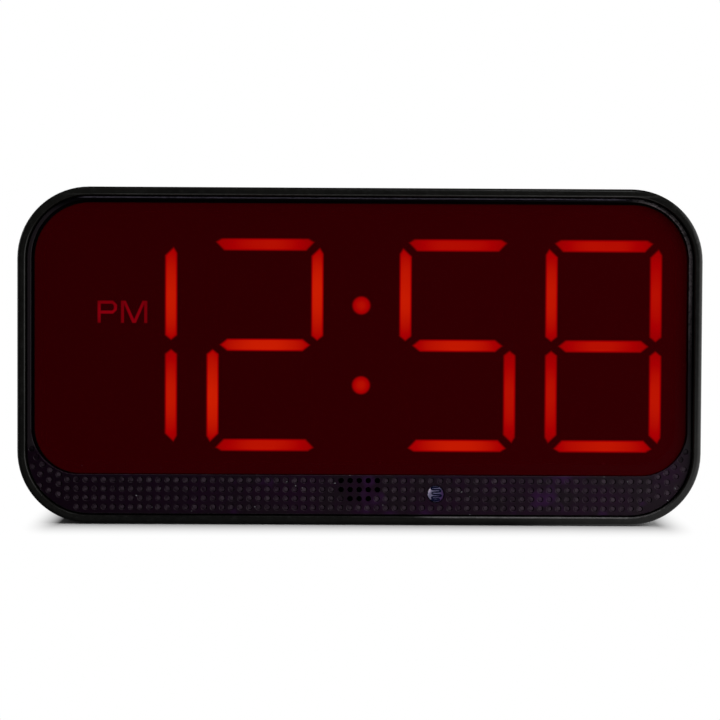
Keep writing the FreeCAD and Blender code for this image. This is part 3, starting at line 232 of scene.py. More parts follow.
# plastics, rubber and film: two tones, moulded grain, dust and rubbed edges; on the rim and the front panel
# also painted highlights and painted shade
# grain and waves are depths in millimetres, places are in metres
plasticLooks = {
    "rim_plastic": {
        "base": (0.0030, 0.0029, 0.0028), "patch": (0.0056, 0.0055, 0.0047), "patchScale": 22,
        "fine": (700, (0.0105, 0.0106, 0.0098)),  # scale and tone
        "rough": (0.17, 0.27), "grainScale": 2600, "grain": 0.0026, "dust": 0.06, "specular": 0.4,
        "waves": 0.05, "waveScale": 70,
        # painted highlights on the rim
        "bands": (  # pale lines where the edge of the opening catches light
            # painted highlight along its foot, from the middle to the right
            {"X": (0.016, 0.024, 0.0809, 0.0811), "Y": (-1, -0.99, -0.02315, -0.02300),
             "Z": (0.00225, 0.00238, 0.00285, 0.00295), "tone": (0.092, 0.089, 0.090), "even": 0.5},
            # painted highlight round its lower right corner
            {"X": (0.0810, 0.0811, 0.0900, 0.0960), "Y": (-1, -0.99, -0.02315, -0.02300),
             "Z": (0, 0.001, 0.0180, 0.0200), "tone": (0.060, 0.058, 0.059), "even": 0.4,
             "ring": (0.08095, 0.02185, 0.01908, 0.01912, 0.01945, 0.01955)},
            # painted highlight along its head
            {"X": (-0.090, -0.070, 0.078, 0.090), "Y": (-1, -0.99, -0.02315, -0.02300),
             "Z": (0.09855, 0.09860, 0.09905, 0.09915), "tone": (0.0390, 0.0385, 0.0370), "even": 0.4},
        ),
    },
    "panel_plastic": {
        "base": (0.0086, 0.0046, 0.0078), "patch": (0.0112, 0.0028, 0.0112), "patchScale": 150,
        "stains": (110, (0.0260, 0.0060, 0.0360)),  # scale and tone
        "rough": (0.36, 0.46), "grainScale": 3400, "grain": 0.006, "dust": 0.20, "specular": 0.16,
        "layers": (  # axis, from, to, tone and share
            ("X", 0.0000, -0.0900, (0.0040, 0.0008, 0.0038), 0.90),    # the left end is darker
            ("Z", 0.0215, 0.0240, (0.0112, 0.0085, 0.0104), 1.0),      # the plain strips beside the window
            # painted shade: the strip above the window is made much darker than the ones beside it
            ("Z", 0.0930, 0.0965, (0.0014, 0.0010, 0.0016), 1.0),      # and the one above it
            # painted shade: the next layer darkens what lies deep behind the front face, in grooves, holes
            # and recesses
            ("Y", -0.02190, -0.02182, (0.0010, 0.0003, 0.0008), 1.0),  # what lies deep
        ),
        "discs": {  # at the foot of the dimples
            "depth": -0.021985, "within": 0.000002,
            "tone": (0.040, 0.028, 0.038), "far": (0.0006, 0.0002, 0.0008),
            "Z": (0.0165, 0.0200),  # the discs turn from their tone to the far one between these heights
            "scale": 420, "span": (0.36, 0.66), "least": 0.05,
        },
        "bands": (
            # painted highlight on the walls of the dimples, just behind the front face
            {"Y": (-0.021982, -0.02196, -0.02193, -0.02189), "Z": (0, 0.001, 0.0190, 0.0215),
             "tone": (0.042, 0.030, 0.038), "even": 0.1},
            # painted highlight: the pale upper edge of the front face
            {"X": (-0.092, -0.088, 0.076, 0.082), "Y": (-1, -0.99, -0.02192, -0.02190),
             "Z": (0.09775, 0.09785, 1, 2), "tone": (0.085, 0.074, 0.100), "even": 0.3},
            # painted reflection on its upper right corner
            {"X": (0.0800, 0.0880, 1, 2), "Y": (-1, -0.99, -0.02192, -0.02190),
             "Z": (0.0480, 0.0880, 1, 2), "tone": (0.165, 0.142, 0.152), "even": 0.0},
        ),
        # the plain strips begin between these heights, and their roughness
        "polished": (0.0205, 0.0235, 0.15),
    },
    "mask_plastic": {
        "base": (0.0030, 0.0004, 0.0004), "patch": (0.0040, 0.0006, 0.0006), "patchScale": 40,
        "rough": (0.80, 0.92), "grainScale": 2400, "grain": 0.006, "specular": 0.0,
    },
    "dark_segment": {
        "base": (0.0042, 0.0004, 0.0004), "patch": (0.0050, 0.0006, 0.0005), "patchScale": 60,
        "rough": (0.80, 0.92), "grainScale": 2000, "grain": 0.004, "specular": 0.0,
    },
    "cover_plastic": {
        "base": (0.0185, 0.0182, 0.0192), "patch": (0.0212, 0.0208, 0.0214), "patchScale": 34,
        "rough": (0.52, 0.68), "grainScale": 1500, "grain": 0.045, "dust": 0.02, "edge": 0.018,
    },
    "button_plastic": {
        "base": (0.0270, 0.0270, 0.0285), "patch": (0.0320, 0.0315, 0.0320), "patchScale": 60,
        "rough": (0.34, 0.46), "grainScale": 2600, "grain": 0.012, "dust": 0.02, "edge": 0.03,
    },
    "foot_rubber": {
        "base": (0.0180, 0.0175, 0.0170), "patch": (0.0330, 0.0320, 0.0300), "patchScale": 140,
        "rough": (0.78, 0.94), "grainScale": 1800, "grain": 0.030, "dust": 0.05,
    },
    "label_film": {
        "base": (0.52, 0.53, 0.54), "patch": (0.47, 0.48, 0.50), "patchScale": 70,
        "rough": (0.34, 0.46), "grainScale": 900, "grain": 0.010,
    },
    "legend_print": {
        "base": (0.40, 0.40, 0.39), "patch": (0.31, 0.31, 0.30), "patchScale": 500,
        "rough": (0.50, 0.64), "grainScale": 1500, "grain": 0.010,
    },
    "connector_plastic": {
        "base": (0.66, 0.63, 0.55), "patch": (0.58, 0.55, 0.46), "patchScale": 90,
        "rough": (0.40, 0.54), "grainScale": 2200, "grain": 0.010, "edge": 0.04,
    },
    "cable_grey": {
        "base": (0.30, 0.31, 0.33), "patch": (0.24, 0.25, 0.27), "patchScale": 120,
        "rough": (0.46, 0.60), "grainScale": 1400, "grain": 0.012,
    },
    "capacitor_sleeve": {
        "base": (0.016, 0.024, 0.060), "patch": (0.022, 0.032, 0.075), "patchScale": 110,
        "rough": (0.26, 0.38), "grainScale": 1600, "grain": 0.008, "edge": 0.03,
    },
    "led_resin": {
        "base": (0.62, 0.20, 0.14), "patch": (0.70, 0.30, 0.20), "patchScale": 200,
        "rough": (0.20, 0.32), "grainScale": 1800, "grain": 0.006, "edge": 0.05,
    },
}
plasticDetail = {  # what all of them share; a span is where a noise starts to show and where it is full
    "patchSpan": (0.36, 0.66), "roughFiner": 5,
    "edgeRadius": 0.6, "edgeTurn": (0.98, 0.82), "edgeScale": 260,
    "stainSpan": (0.60, 0.72), "stainShare": 0.8, "fineSpan": (0.50, 0.72),
    "bandScale": 1300, "bandSpan": (0.36, 0.64),
    "dustScale": 420, "dustSize": 0.10, "dustTone": (0.16, 0.16, 0.17), "dustRough": 0.3,
}


def rubbedEdges(tree, place, colour, look, detail):
    # corners are a little paler
    rounded = addNode(tree, "ShaderNodeBevel", {"Radius": detail["edgeRadius"] * mm}, samples=4).outputs[0]
    facing = addNode(tree, "ShaderNodeNewGeometry").outputs["Normal"]
    bare = mapped(tree, vectorMaths(tree, "DOT_PRODUCT", rounded, facing), *detail["edgeTurn"])
    worn = maths(tree, "MULTIPLY", bare, noiseAt(tree, place, detail["edgeScale"], 3.0, 0.7))
    return mixColours(tree, worn, colour, rgba([tone + look["edge"] for tone in look["base"]]))


def paleDiscs(tree, place, reach, colour, discs):
    # each disc in the dimples has its own paleness
    inDisc = maths(tree, "COMPARE", reach["Y"], discs["depth"], discs["within"])
    uneven = mapped(tree, noiseAt(tree, place, discs["scale"], 3.0, 0.7), *discs["span"], discs["least"], 1.0)
    tone = mixColours(tree, mapped(tree, reach["Z"], *discs["Z"]), rgba(discs["tone"]), rgba(discs["far"]))
    return mixColours(tree, maths(tree, "MULTIPLY", inDisc, uneven), colour, tone)


def ringDistance(tree, reach, centre):
    # how far a point lies from a corner's own centre, seen from the front
    sides = [maths(tree, "SUBTRACT", reach[axis], middle) for axis, middle in zip("XZ", centre)]
    return maths(tree, "SQRT", maths(tree, "ADD", *[maths(tree, "MULTIPLY", side, side) for side in sides]))


def paintHighlightBand(tree, place, reach, colour, band, detail):
    # a band is a painted highlight with up to four spans, each of them where it begins, is full, starts to
    # fade and is gone
    uneven = noiseAt(tree, place, detail["bandScale"], 4.0, 0.7)
    share = mapped(tree, uneven, *detail["bandSpan"], band["even"], 1.0)
    spans = [(reach[axis], band[axis]) for axis in "XYZ" if axis in band]
    if "ring" in band:
        spans.append((ringDistance(tree, reach, band["ring"][:2]), band["ring"][2:]))
    for value, (begins, full, fades, gone) in spans:
        share = maths(tree, "MULTIPLY", share, mapped(tree, value, begins, full))
        share = maths(tree, "MULTIPLY", share, mapped(tree, value, fades, gone, 1.0, 0.0))
    return mixColours(tree, share, colour, rgba(band["tone"]))


def plasticColour(tree, place, reach, look, detail):
    patches = mapped(tree, noiseAt(tree, place, look["patchScale"], 3.0), *detail["patchSpan"])
    colour = mixColours(tree, patches, rgba(look["base"]), rgba(look["patch"]))
    if "edge" in look:
        colour = rubbedEdges(tree, place, colour, look, detail)
    if "stains" in look:
        scale, tone = look["stains"]
        stains = mapped(tree, noiseAt(tree, place, scale), *detail["stainSpan"], 0.0, detail["stainShare"])
        colour = mixColours(tree, stains, colour, rgba(tone))
    if "fine" in look:
        scale, tone = look["fine"]
        fine = mapped(tree, noiseAt(tree, place, scale, 4.0, 0.8), *detail["fineSpan"])
        colour = mixColours(tree, fine, colour, rgba(tone))
    # tones by place; on the panel two of them are painted shade
    for axis, start, end, tone, most in look.get("layers", ()):
        colour = mixColours(tree, mapped(tree, reach[axis], start, end, 0.0, most), colour, rgba(tone))
    if "discs" in look:
        colour = paleDiscs(tree, place, reach, colour, look["discs"])
    # painted highlights and reflections, band by band
    for band in look.get("bands", ()):
        colour = paintHighlightBand(tree, place, reach, colour, band, detail)
    return colour


def plasticMaterial(slot, look, detail):
    material, tree, place = startMaterial(slot)
    reach = addNode(tree, "ShaderNodeSeparateXYZ", {"Vector": place}).outputs
    colour = plasticColour(tree, place, reach, look, detail)
    roughNoise = noiseAt(tree, place, look["patchScale"] * detail["roughFiner"], 4.0, 0.6)
    rough = mapped(tree, roughNoise, *noiseSpan, *look["rough"])
    if "polished" in look:
        start, end, smooth = look["polished"]
        rough = mixNumbers(tree, mapped(tree, reach["Z"], start, end), rough, smooth)
    if "dust" in look:
        specks = specksAt(tree, place, detail["dustScale"], look["dust"], detail["dustSize"])
        colour = mixColours(tree, specks, colour, rgba(detail["dustTone"]))
        rough = maths(tree, "ADD", rough, maths(tree, "MULTIPLY", specks, detail["dustRough"]))
    under = {}
    if "waves" in look:
        under["Normal"] = bumpOf(tree, noiseAt(tree, place, look["waveScale"]), look["waves"])
    grain = bumpOf(tree, noiseAt(tree, place, look["grainScale"], 2.0, 0.55), look["grain"], **under)
    return finishMaterial(material, {
        "Base Color": colour, "Roughness": rough, "Normal": grain,
        "Specular IOR Level": look.get("specular", 0.5)})


# metals: steel screws, the cell and tinned leads
metalLooks = {
    "screw_steel": {
        "tone": (0.42, 0.42, 0.43), "dark": (0.20, 0.20, 0.21), "rough": (0.26, 0.44), "scale": 420,
    },
    "cell_steel": {
        "tone": (0.66, 0.66, 0.65), "dark": (0.50, 0.50, 0.50), "rough": (0.18, 0.34), "scale": 260,
    },
    "tinned_wire": {
        "tone": (0.72, 0.71, 0.69), "dark": (0.55, 0.54, 0.52), "rough": (0.22, 0.36), "scale": 700,
    },
}
metalDetail = {"tarnishSpan": (0.35, 0.7), "streaks": (1.0, 1.0, 7.0), "lineFiner": 3, "lineDepth": 0.004}


def metalMaterial(slot, look, detail):
    material, tree, place = startMaterial(slot)
    tarnish = mapped(tree, noiseAt(tree, place, look["scale"], 4.0, 0.6), *detail["tarnishSpan"])
    streaked = addNode(tree, "ShaderNodeMapping", {"Vector": place, "Scale": detail["streaks"]}).outputs[0]
    lines = noiseAt(tree, streaked, look["scale"] * detail["lineFiner"])
    return finishMaterial(material, {
        "Base Color": mixColours(tree, tarnish, rgba(look["tone"]), rgba(look["dark"])),
        "Roughness": mapped(tree, lines, *noiseSpan, *look["rough"]),
        "Normal": bumpOf(tree, lines, detail["lineDepth"]),
        "Metallic": 1.0})


# circuit boards: solder resist over a web of copper tracks
boardLook = {
    "resist": (0.010, 0.060, 0.026), "track": (0.020, 0.110, 0.045), "pad": (0.62, 0.60, 0.55),
    "trackPitch": 2.54, "trackBend": 1.4, "trackSpan": (0.62, 0.70), "padSpan": (0.16, 0.13),
    "copper": 0.03, "copperStrength": 0.8,
    "rough": (0.30, 0.42), "roughScale": 300,
}


def boardMaterial(slot, look):
    material, tree, place = startMaterial(slot)
    pitch = look["trackPitch"] * mm
    cells = addNode(tree, "ShaderNodeTexVoronoi", {"Vector": place, "Scale": 1 / (2 * pitch)},
                    feature="F1", distance="MANHATTAN")
    ridges = addNode(tree, "ShaderNodeTexWave", {
        "Vector": place, "Scale": 1 / (math.tau * pitch), "Distortion": look["trackBend"], "Detail": 0.0},
        wave_type="BANDS", bands_direction="Z")
    onTrack = mapped(tree, ridges.outputs["Fac"], *look["trackSpan"])
    onPad = mapped(tree, cells.outputs["Distance"], *look["padSpan"])
    colour = mixColours(tree, onTrack, rgba(look["resist"]), rgba(look["track"]))
    height = maths(tree, "ADD", onTrack, onPad)
    return finishMaterial(material, {
        "Base Color": mixColours(tree, onPad, colour, rgba(look["pad"])),
        "Roughness": mapped(tree, noiseAt(tree, place, look["roughScale"], 3.0), *noiseSpan, *look["rough"]),
        "Normal": bumpOf(tree, height, look["copper"], Strength=look["copperStrength"])})


# the red acrylic window
windowLook = {
    "tint": (0.0570, 0.0000, 0.0012), "thin": 0.45, "rough": (0.06, 0.11), "specular": 0.015,
    "hazeScale": 45, "hazeTint": 0.93,
    "waveScale": 30, "waves": 0.01,
}


def windowMaterial(slot, look):
    material, tree, place = startMaterial(slot)
    haze = noiseAt(tree, place, look["hazeScale"], 4.0, 0.6)
    deeper = rgba([tone * look["hazeTint"] for tone in look["tint"]])
    return finishMaterial(material, {
        "Base Color": mixColours(tree, haze, rgba(look["tint"]), deeper),
        "Roughness": mapped(tree, haze, *noiseSpan, *look["rough"]),
        "Normal": bumpOf(tree, noiseAt(tree, place, look["waveScale"], 1.0), look["waves"]),
        "Alpha": look["thin"],
        "Specular IOR Level": look["specular"]})


# lit plastic: bright over its lamp, dimmer at the tips and at its edge
litLooks = {
    "lit_segment": {
        "stops": ((0.0, (0.0, 0.0, 0.0)), (0.62, (0.62, 0.0, 0.0)), (0.75, (0.75, 0.0080, 0.0)),
                  (1.0, (1.0, 0.022, 0.0))),
        "tip": 0.58,
    },
    "lit_legend": {
        "stops": ((0.0, (0.0, 0.0, 0.0)), (1.0, (0.328, 0.0, 0.006))),
        "tip": 0.62,
    },
}
litDetail = {
    "strength": 1.85, "unevenScale": 90, "uneven": 0.10,
    "body": (0.008, 0.0, 0.0), "bodyScale": 150, "bodyDark": 0.7,
    "rough": 0.7, "grainScale": 2000, "grain": 0.006,
}


def litMaterial(slot, look, detail):
    material, tree, place = startMaterial(slot)
    along = addNode(tree, "ShaderNodeUVMap", uv_map="along").outputs[0]
    reach = vectorMaths(tree, "LENGTH", along)
    uneven = detail["uneven"]
    patches = mapped(tree, noiseAt(tree, place, detail["unevenScale"]), *noiseSpan, -uneven, uneven)
    far = maths(tree, "ADD", maths(tree, "MULTIPLY", reach, reach), patches)
    level = mapped(tree, far, 0.0, 1.0, 1.0, look["tip"])
    for name in ("glow", "lamp"):
        stored = addNode(tree, "ShaderNodeAttribute", attribute_name=name).outputs["Fac"]
        level = maths(tree, "MULTIPLY", level, stored)
    darker = rgba([tone * detail["bodyDark"] for tone in detail["body"]])
    body = mixColours(tree, noiseAt(tree, place, detail["bodyScale"]), rgba(detail["body"]), darker)
    return finishMaterial(material, {
        "Emission Color": rampOf(tree, level, look["stops"]),
        "Emission Strength": detail["strength"],
        "Base Color": body,
        "Roughness": detail["rough"],
        "Normal": bumpOf(tree, noiseAt(tree, place, detail["grainScale"]), detail["grain"]),
        "Specular IOR Level": 0.0})


# light sensor: film with a painted highlight, pale at its upper left and darkening to the lower right as a
# painted dark reflection, and a dark winding track that darkens the same way
sensorLook = {
    "centre": (0.0230, 0.0, 0.0094), "lean": (370.0, 0.0, -150.0),  # from -1 to 1 across the disc
    # the film's own colour, with a painted highlight at the pale end of these stops and a painted dark
    # reflection towards the dark end
    "film": ((0.0, (0.64, 0.56, 0.64)), (0.08, (0.31, 0.27, 0.39)), (0.17, (0.130, 0.120, 0.190)),
             (0.62, (0.088, 0.082, 0.152)), (0.84, (0.050, 0.024, 0.086))),
    "track": ((0.0, (0.0014, 0.0026, 0.0190)), (1.0, (0.0012, 0.0018, 0.0140))),
    "mottleScale": 700, "mottle": 0.10,
    "rough": (0.24, 0.36), "roughScale": 900, "specular": 0.15,
}


def sensorMaterial(name, stops, look):
    material, tree, place = startMaterial(name)
    offset = vectorMaths(tree, "SUBTRACT", place, look["centre"])
    # painted highlight and reflection: the colour turns across the disc from pale at the upper left to dark
    # at the lower right
    across = mapped(tree, vectorMaths(tree, "DOT_PRODUCT", offset, look["lean"]), -1.0, 1.0)
    mottle = look["mottle"]
    mottled = mapped(tree, noiseAt(tree, place, look["mottleScale"], 3.0), *noiseSpan, -mottle, mottle)
    return finishMaterial(material, {
        "Base Color": rampOf(tree, maths(tree, "ADD", across, mottled), stops),
        "Roughness": mapped(tree, noiseAt(tree, place, look["roughScale"], 3.0), *noiseSpan, *look["rough"]),
        "Specular IOR Level": look["specular"]})


materials = {slot: plasticMaterial(slot, look, plasticDetail) for slot, look in plasticLooks.items()}
materials |= {slot: metalMaterial(slot, look, metalDetail) for slot, look in metalLooks.items()}
materials |= {slot: litMaterial(slot, look, litDetail) for slot, look in litLooks.items()}
materials["circuit_board"] = boardMaterial("circuit_board", boardLook)
materials["red_acrylic"] = windowMaterial("red_acrylic", windowLook)
materials["sensor_ceramic"] = sensorMaterial("sensor_ceramic", sensorLook["film"], sensorLook)
materials["sensor_track"] = sensorMaterial("sensor_track", sensorLook["track"], sensorLook)
for nodeName, thing in frame["nodes"].items():
    thing.data.materials.clear()
    thing.data.materials.append(materials[slotOf[nodeName]])
print("materials made:", len(materials))


# the window stands a hair in front of the ledge that carries it, in millimetres
windowFit = {"gap": 0.06, "backWithin": 0.1}


def makeWindow(look):
    shape = mergedCopy("red_window")
    back = max(vert.co.y for vert in shape.verts)
    for vert in shape.verts:
        if vert.co.y > back - look["backWithin"] * mm:
            vert.co.y = back - look["gap"] * mm
    piece = makePiece("window_sheet", meshFrom("window_sheet", shape), "case", "red_acrylic")
    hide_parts("red_window")


makeWindow(windowFit)
print("window made")


# lit digits, colon and PM: each solid gets a soft edge and its own lamp
litPieces = {
    # node, piece, and how bright each bar is, from the lowest up
    "nodes": {
        "hour_tens_segments": ("hour_tens_glow", (0.87, 0.93)),
        "hour_units_segments": ("hour_units_glow", (0.80, 1.0, 0.98, 0.98, 0.76)),
        "minute_tens_segments": ("minute_tens_glow", (0.93, 0.76, 0.89, 0.94, 0.75)),
        "minute_units_segments": ("minute_units_glow", (0.85, 0.77, 0.83, 0.77, 0.89, 0.76, 0.77)),
        "colon_dots": ("colon_glow", (0.76, 0.77)),
        "pm_legend": ("pm_glow", (1.0, 0.97)),
    },
    "softEdge": {"lit_segment": 0.70, "lit_legend": 0.16},
    "spread": {"lit_segment": 0.22, "lit_legend": 0.0},  # light spreads in the film past the edge
    "reach": {"lit_segment": 0.28, "lit_legend": 0.0},   # and further at the ends of a bar
    "edgeGlow": {"lit_segment": 0.0, "lit_legend": 0.42},
    "proud": 0.03,
    "crossFall": 0.42,    # how much of the fall towards the tips there is across a bar
    "nearSquare": 0.9,    # across is where a side is less than this share of the other one
    "longBar": 2,         # a bar longer than this for its width reaches out at its ends
    "mergeAngle": 2,      # degrees
    "frontFacing": -0.99, "sideFacing": 0.5,  # the normal's Y on a front face, and the most on a side
    "cornerLimit": 0.4,   # keeps a sharp corner from spreading far
}


def islandsOf(shape):
    left = set(shape.verts)
    while left:
        found, edge = set(), [left.pop()]
        while edge:
            vert = edge.pop()
            found.add(vert)
            for link in vert.link_edges:
                other = link.other_vert(vert)
                if other in left:
                    left.remove(other)
                    edge.append(other)
        yield found


def barsOf(shape):
    # each separate solid from the lowest up, with its middle and half its size in X and Z
    bars = []
    for verts in islandsOf(shape):
        places = [[vert.co[axis] for vert in verts] for axis in (0, 2)]
        middle = [(min(line) + max(line)) / 2 for line in places]
        half = [(max(line) - min(line)) / 2 for line in places]
        bars.append((middle, half, verts))
    return sorted(bars, key=lambda bar: (round(bar[0][1], 4), round(bar[0][0], 4)))


def spreadOutline(shape, spread, look):
    moves = []
    for vert in shape.verts:
        sides = [face.normal for face in vert.link_faces if abs(face.normal.y) < look["sideFacing"]]
        if sides:
            way = sum(sides, Vector()).normalized()
            onFront = any(face.normal.y < look["frontFacing"] for face in vert.link_faces)
            rise = look["proud"] * mm if onFront else 0.0
            outwards = way * spread / max(look["cornerLimit"], way.dot(sides[0]))
            moves.append((vert, outwards - Vector((0, rise, 0))))
    for vert, move in moves:
        vert.co += move


def softenFronts(shape, width, edgeGlow, look):
    # the glow is full inside a front face and weaker at its edge
    glow = shape.verts.layers.float.new("glow")
    for vert in shape.verts:
        vert[glow] = edgeGlow
    fronts = [face for face in shape.faces if face.normal.y < look["frontFacing"]]
    bmesh.ops.inset_region(shape, faces=fronts, thickness=width, use_even_offset=True)
    for face in fronts:
        for vert in face.verts:
            vert[glow] = 1.0


def lightBars(shape, levels, reach, look):
    # each solid has its own lamp, and knows how far along it a point lies
    lamp = shape.verts.layers.float.new("lamp")
    along = shape.loops.layers.uv.new("along")
    for level, ((midX, midZ), (halfX, halfZ), verts) in zip(levels, barsOf(shape)):
        fallX = 1.0 if halfX >= halfZ * look["nearSquare"] else look["crossFall"]
        fallZ = 1.0 if halfZ >= halfX * look["nearSquare"] else look["crossFall"]
        longest, shortest = max(halfX, halfZ), min(halfX, halfZ)
        longer = reach / longest if longest > look["longBar"] * shortest else 0.0
        for vert in verts:
            vert[lamp] = level
            aside, above = vert.co.x - midX, vert.co.z - midZ
            for loop in vert.link_loops:
                loop[along].uv = (fallX * aside / halfX, fallZ * above / halfZ)
            if halfX > halfZ:
                vert.co.x += aside * longer
            else:
                vert.co.z += above * longer


def makeLitPieces(look):
    for node, (name, levels) in look["nodes"].items():
        slot = slotOf[node]
        shape = mergedCopy(node)
        bmesh.ops.dissolve_limit(shape, angle_limit=math.radians(look["mergeAngle"]),
                                 verts=shape.verts, edges=shape.edges)
        spreadOutline(shape, look["spread"][slot] * mm, look)
        softenFronts(shape, look["softEdge"][slot] * mm, look["edgeGlow"][slot], look)
        lightBars(shape, levels, look["reach"][slot] * mm, look)
        piece = makePiece(name, meshFrom(name, shape), "case", slot)
        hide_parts(node)


makeLitPieces(litPieces)
print("lit pieces made")


# front panel with its strip of moulded dimples
dimples = {
    "frontY": -22.0,
    "pitch": 2.73,
    "firstRow": 3.95,  # above the middle of the sensor
    "rows": ((32, 2), (32, 2), (32, 1), (31, -1)),  # last column, last open hole
    "cornerCentre": (84.4, 19.55),
    # radius, first angle, step, count
    "arcs": ((15.2, 21.5, 10.8, 5), (17.8, 18.0, 10.1, 4), (20.8, 15.6, 8.6, 3)),
    "sensorRoom": 3.6,
    "aside": -0.2,
    # radius and depth of one dimple, from behind the front face to the middle of its disc
    "profile": ((0.0, -0.4), (0.98, -0.4), (0.98, 0.0), (0.70, 0.20), (0.62, 0.015), (0.0, 0.015)),
    "tilt": (0.70, 0.08, -30),  # radius of the groove, how much deeper it is on one side, and which
    "tiltWithin": 0.01,
    "sides": 14,
    "sharpFrom": 24,  # degrees
}


def dimpleSpots(look):
    sensorX, _, sensorZ = (place / mm for place in middleOf("light_sensor"))
    spots = []
    for row, (last, openLast) in enumerate(look["rows"]):
        height = sensorZ + look["firstRow"] - row * look["pitch"]
        columns = [column for column in range(-last, last + 1) if abs(column) > openLast]
        spots += [(column * look["pitch"], height) for column in columns]
    midX, rise = look["cornerCentre"]
    for radius, first, step, count in look["arcs"]:
        for index in range(count):
            angle = math.radians(first + step * index)
            x, z = midX + radius * math.sin(angle), sensorZ + rise - radius * math.cos(angle)
            spots += [(x, z), (-x, z)]
    clear = [(x, z) for x, z in spots if math.hypot(x - sensorX, z - sensorZ) > look["sensorRoom"]]
    return [(x + look["aside"], z) for x, z in clear]


def dimpleMesh(look):
    shape = bmesh.new()
    verts = [shape.verts.new((radius * mm, depth * mm, 0)) for radius, depth in look["profile"]]
    edges = [shape.edges.new(pair) for pair in zip(verts, verts[1:])]
    bmesh.ops.spin(shape, geom=verts + edges, cent=(0, 0, 0), axis=(0, 1, 0),
                   angle=math.tau, steps=look["sides"], use_merge=True)
    bmesh.ops.remove_doubles(shape, verts=shape.verts, dist=weld)
    bmesh.ops.recalc_face_normals(shape, faces=shape.faces)
    radius, deeper, side = look["tilt"]
    for vert in shape.verts:
        if abs(math.hypot(vert.co.x, vert.co.z) - radius * mm) < look["tiltWithin"] * mm:
            vert.co.y += deeper * mm * math.cos(math.atan2(vert.co.z, vert.co.x) - math.radians(side))
    return meshFrom("dimple", shape)


def makePanel(look):
    one, cutters = dimpleMesh(look), bmesh.new()
    for x, z in dimpleSpots(look):
        before = len(cutters.verts)
        cutters.from_mesh(one)
        cutters.verts.ensure_lookup_table()
        bmesh.ops.translate(cutters, verts=cutters.verts[before:], vec=Vector((x, look["frontY"], z)) * mm)
    cutter = addObject("dimple_cutters", meshFrom("dimple_cutters", cutters))
    blank = addObject("panel_blank", meshFrom("dimpled_panel", mergedCopy("front_panel")))
    cut = blank.modifiers.new("dimples", "BOOLEAN")
    cut.operation, cut.solver, cut.object = "DIFFERENCE", "MANIFOLD", cutter
    mesh = bakedMesh(blank)
    bpy.data.objects.remove(cutter)
    piece = makePiece("dimpled_panel", mesh, "case", "panel_plastic", sharpFrom=look["sharpFrom"])
    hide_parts("front_panel")
    return piece


panel = makePanel(dimples)
print("panel made:", len(panel.data.polygons), "faces")


# light sensor in its hole
sensorBuild = {
    "bevel": 0.22, "bevelSteps": 3, "sides": 48,
    "trackWidth": 0.23, "trackHeight": 0.25,  # the height is a share of the width
    "trackSteps": 2,
    "trackSharpFrom": 60,  # degrees
    # across, up and how thick it is there
    "track": (
        (0.9, 2.02, 1.0), (0.0, 2.08, 1.2), (-1.0, 1.98, 1.4), (-1.45, 1.66, 1.0), (-1.1, 1.34, 1.0),
        (0.0, 1.30, 1.0), (1.1, 1.32, 1.0), (1.62, 0.96, 1.0), (1.1, 0.60, 1.0), (0.1, 0.56, 1.0),
        (-0.8, 0.56, 0.8), (-1.25, 0.20, 0.8), (-0.8, -0.16, 1.0), (0.3, -0.19, 1.2), (1.3, -0.19, 1.2),
        (1.8, -0.50, 1.0), (1.3, -0.82, 1.0), (0.1, -0.82, 1.0), (-0.9, -0.82, 1.0), (-1.3, -1.14, 1.2),
        (-0.8, -1.44, 1.0), (0.1, -1.46, 1.0), (1.0, -1.46, 1.2), (1.25, -1.76, 1.0), (0.6, -2.00, 1.0),
        (-0.4, -2.02, 1.0), (-1.1, -1.80, 1.9), (-1.2, -1.6, 1.9),
    ),
}


def makeSensorDisc(look, toFace):
    low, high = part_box("light_sensor")
    shape = bmesh.new()
    bmesh.ops.create_circle(shape, cap_ends=True, segments=look["sides"], radius=(high.x - low.x) / 2)
    deep = bmesh.ops.extrude_face_region(shape, geom=list(shape.faces))["geom"]
    bmesh.ops.translate(shape, verts=[part for part in deep if isinstance(part, bmesh.types.BMVert)],
                        vec=(0, 0, low.y - high.y))
    bmesh.ops.recalc_face_normals(shape, faces=shape.faces)
    rim = [edge for edge in shape.edges if all(abs(vert.co.z) < weld for vert in edge.verts)]
    bmesh.ops.bevel(shape, geom=rim, offset=look["bevel"] * mm, affect="EDGES",
                    segments=look["bevelSteps"], profile=0.5, material=-1)
    shape.transform(toFace)
    piece = makePiece("sensor_disc", meshFrom("sensor_disc", shape), "case", "sensor_ceramic")
    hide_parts("light_sensor")


def makeSensorWinding(look, toFace):
    line = bpy.data.curves.new("sensor_track", "CURVE")
    line.dimensions = "3D"
    line.bevel_depth, line.bevel_resolution = look["trackWidth"] * mm, look["trackSteps"]
    line.use_fill_caps = True
    spline = line.splines.new("NURBS")
    spline.points.add(len(look["track"]) - 1)
    for point, (x, z, thick) in zip(spline.points, look["track"]):
        point.co = (x * mm, z * mm, 0, 1)
        point.radius = thick
    spline.order_u, spline.use_endpoint_u = 3, True
    mesh = bakedMesh(addObject("sensor_track", line))
    mesh.transform(toFace @ Matrix.Diagonal((1, 1, look["trackHeight"], 1)))
    makePiece("sensor_winding", mesh, "case", "sensor_ceramic", "sensor_track", look["trackSharpFrom"])


def makeSensor(look):
    # both pieces are drawn flat, X across and Y up, and turned to the sensor's front face
    midX, _, midZ = middleOf("light_sensor")
    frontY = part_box("light_sensor")[0].y
    toFace = Matrix.Translation((midX, frontY, midZ)) @ Matrix.Rotation(math.radians(90), 4, "X")
    makeSensorDisc(look, toFace)
    makeSensorWinding(look, toFace)


makeSensor(sensorBuild)
print("light sensor made")


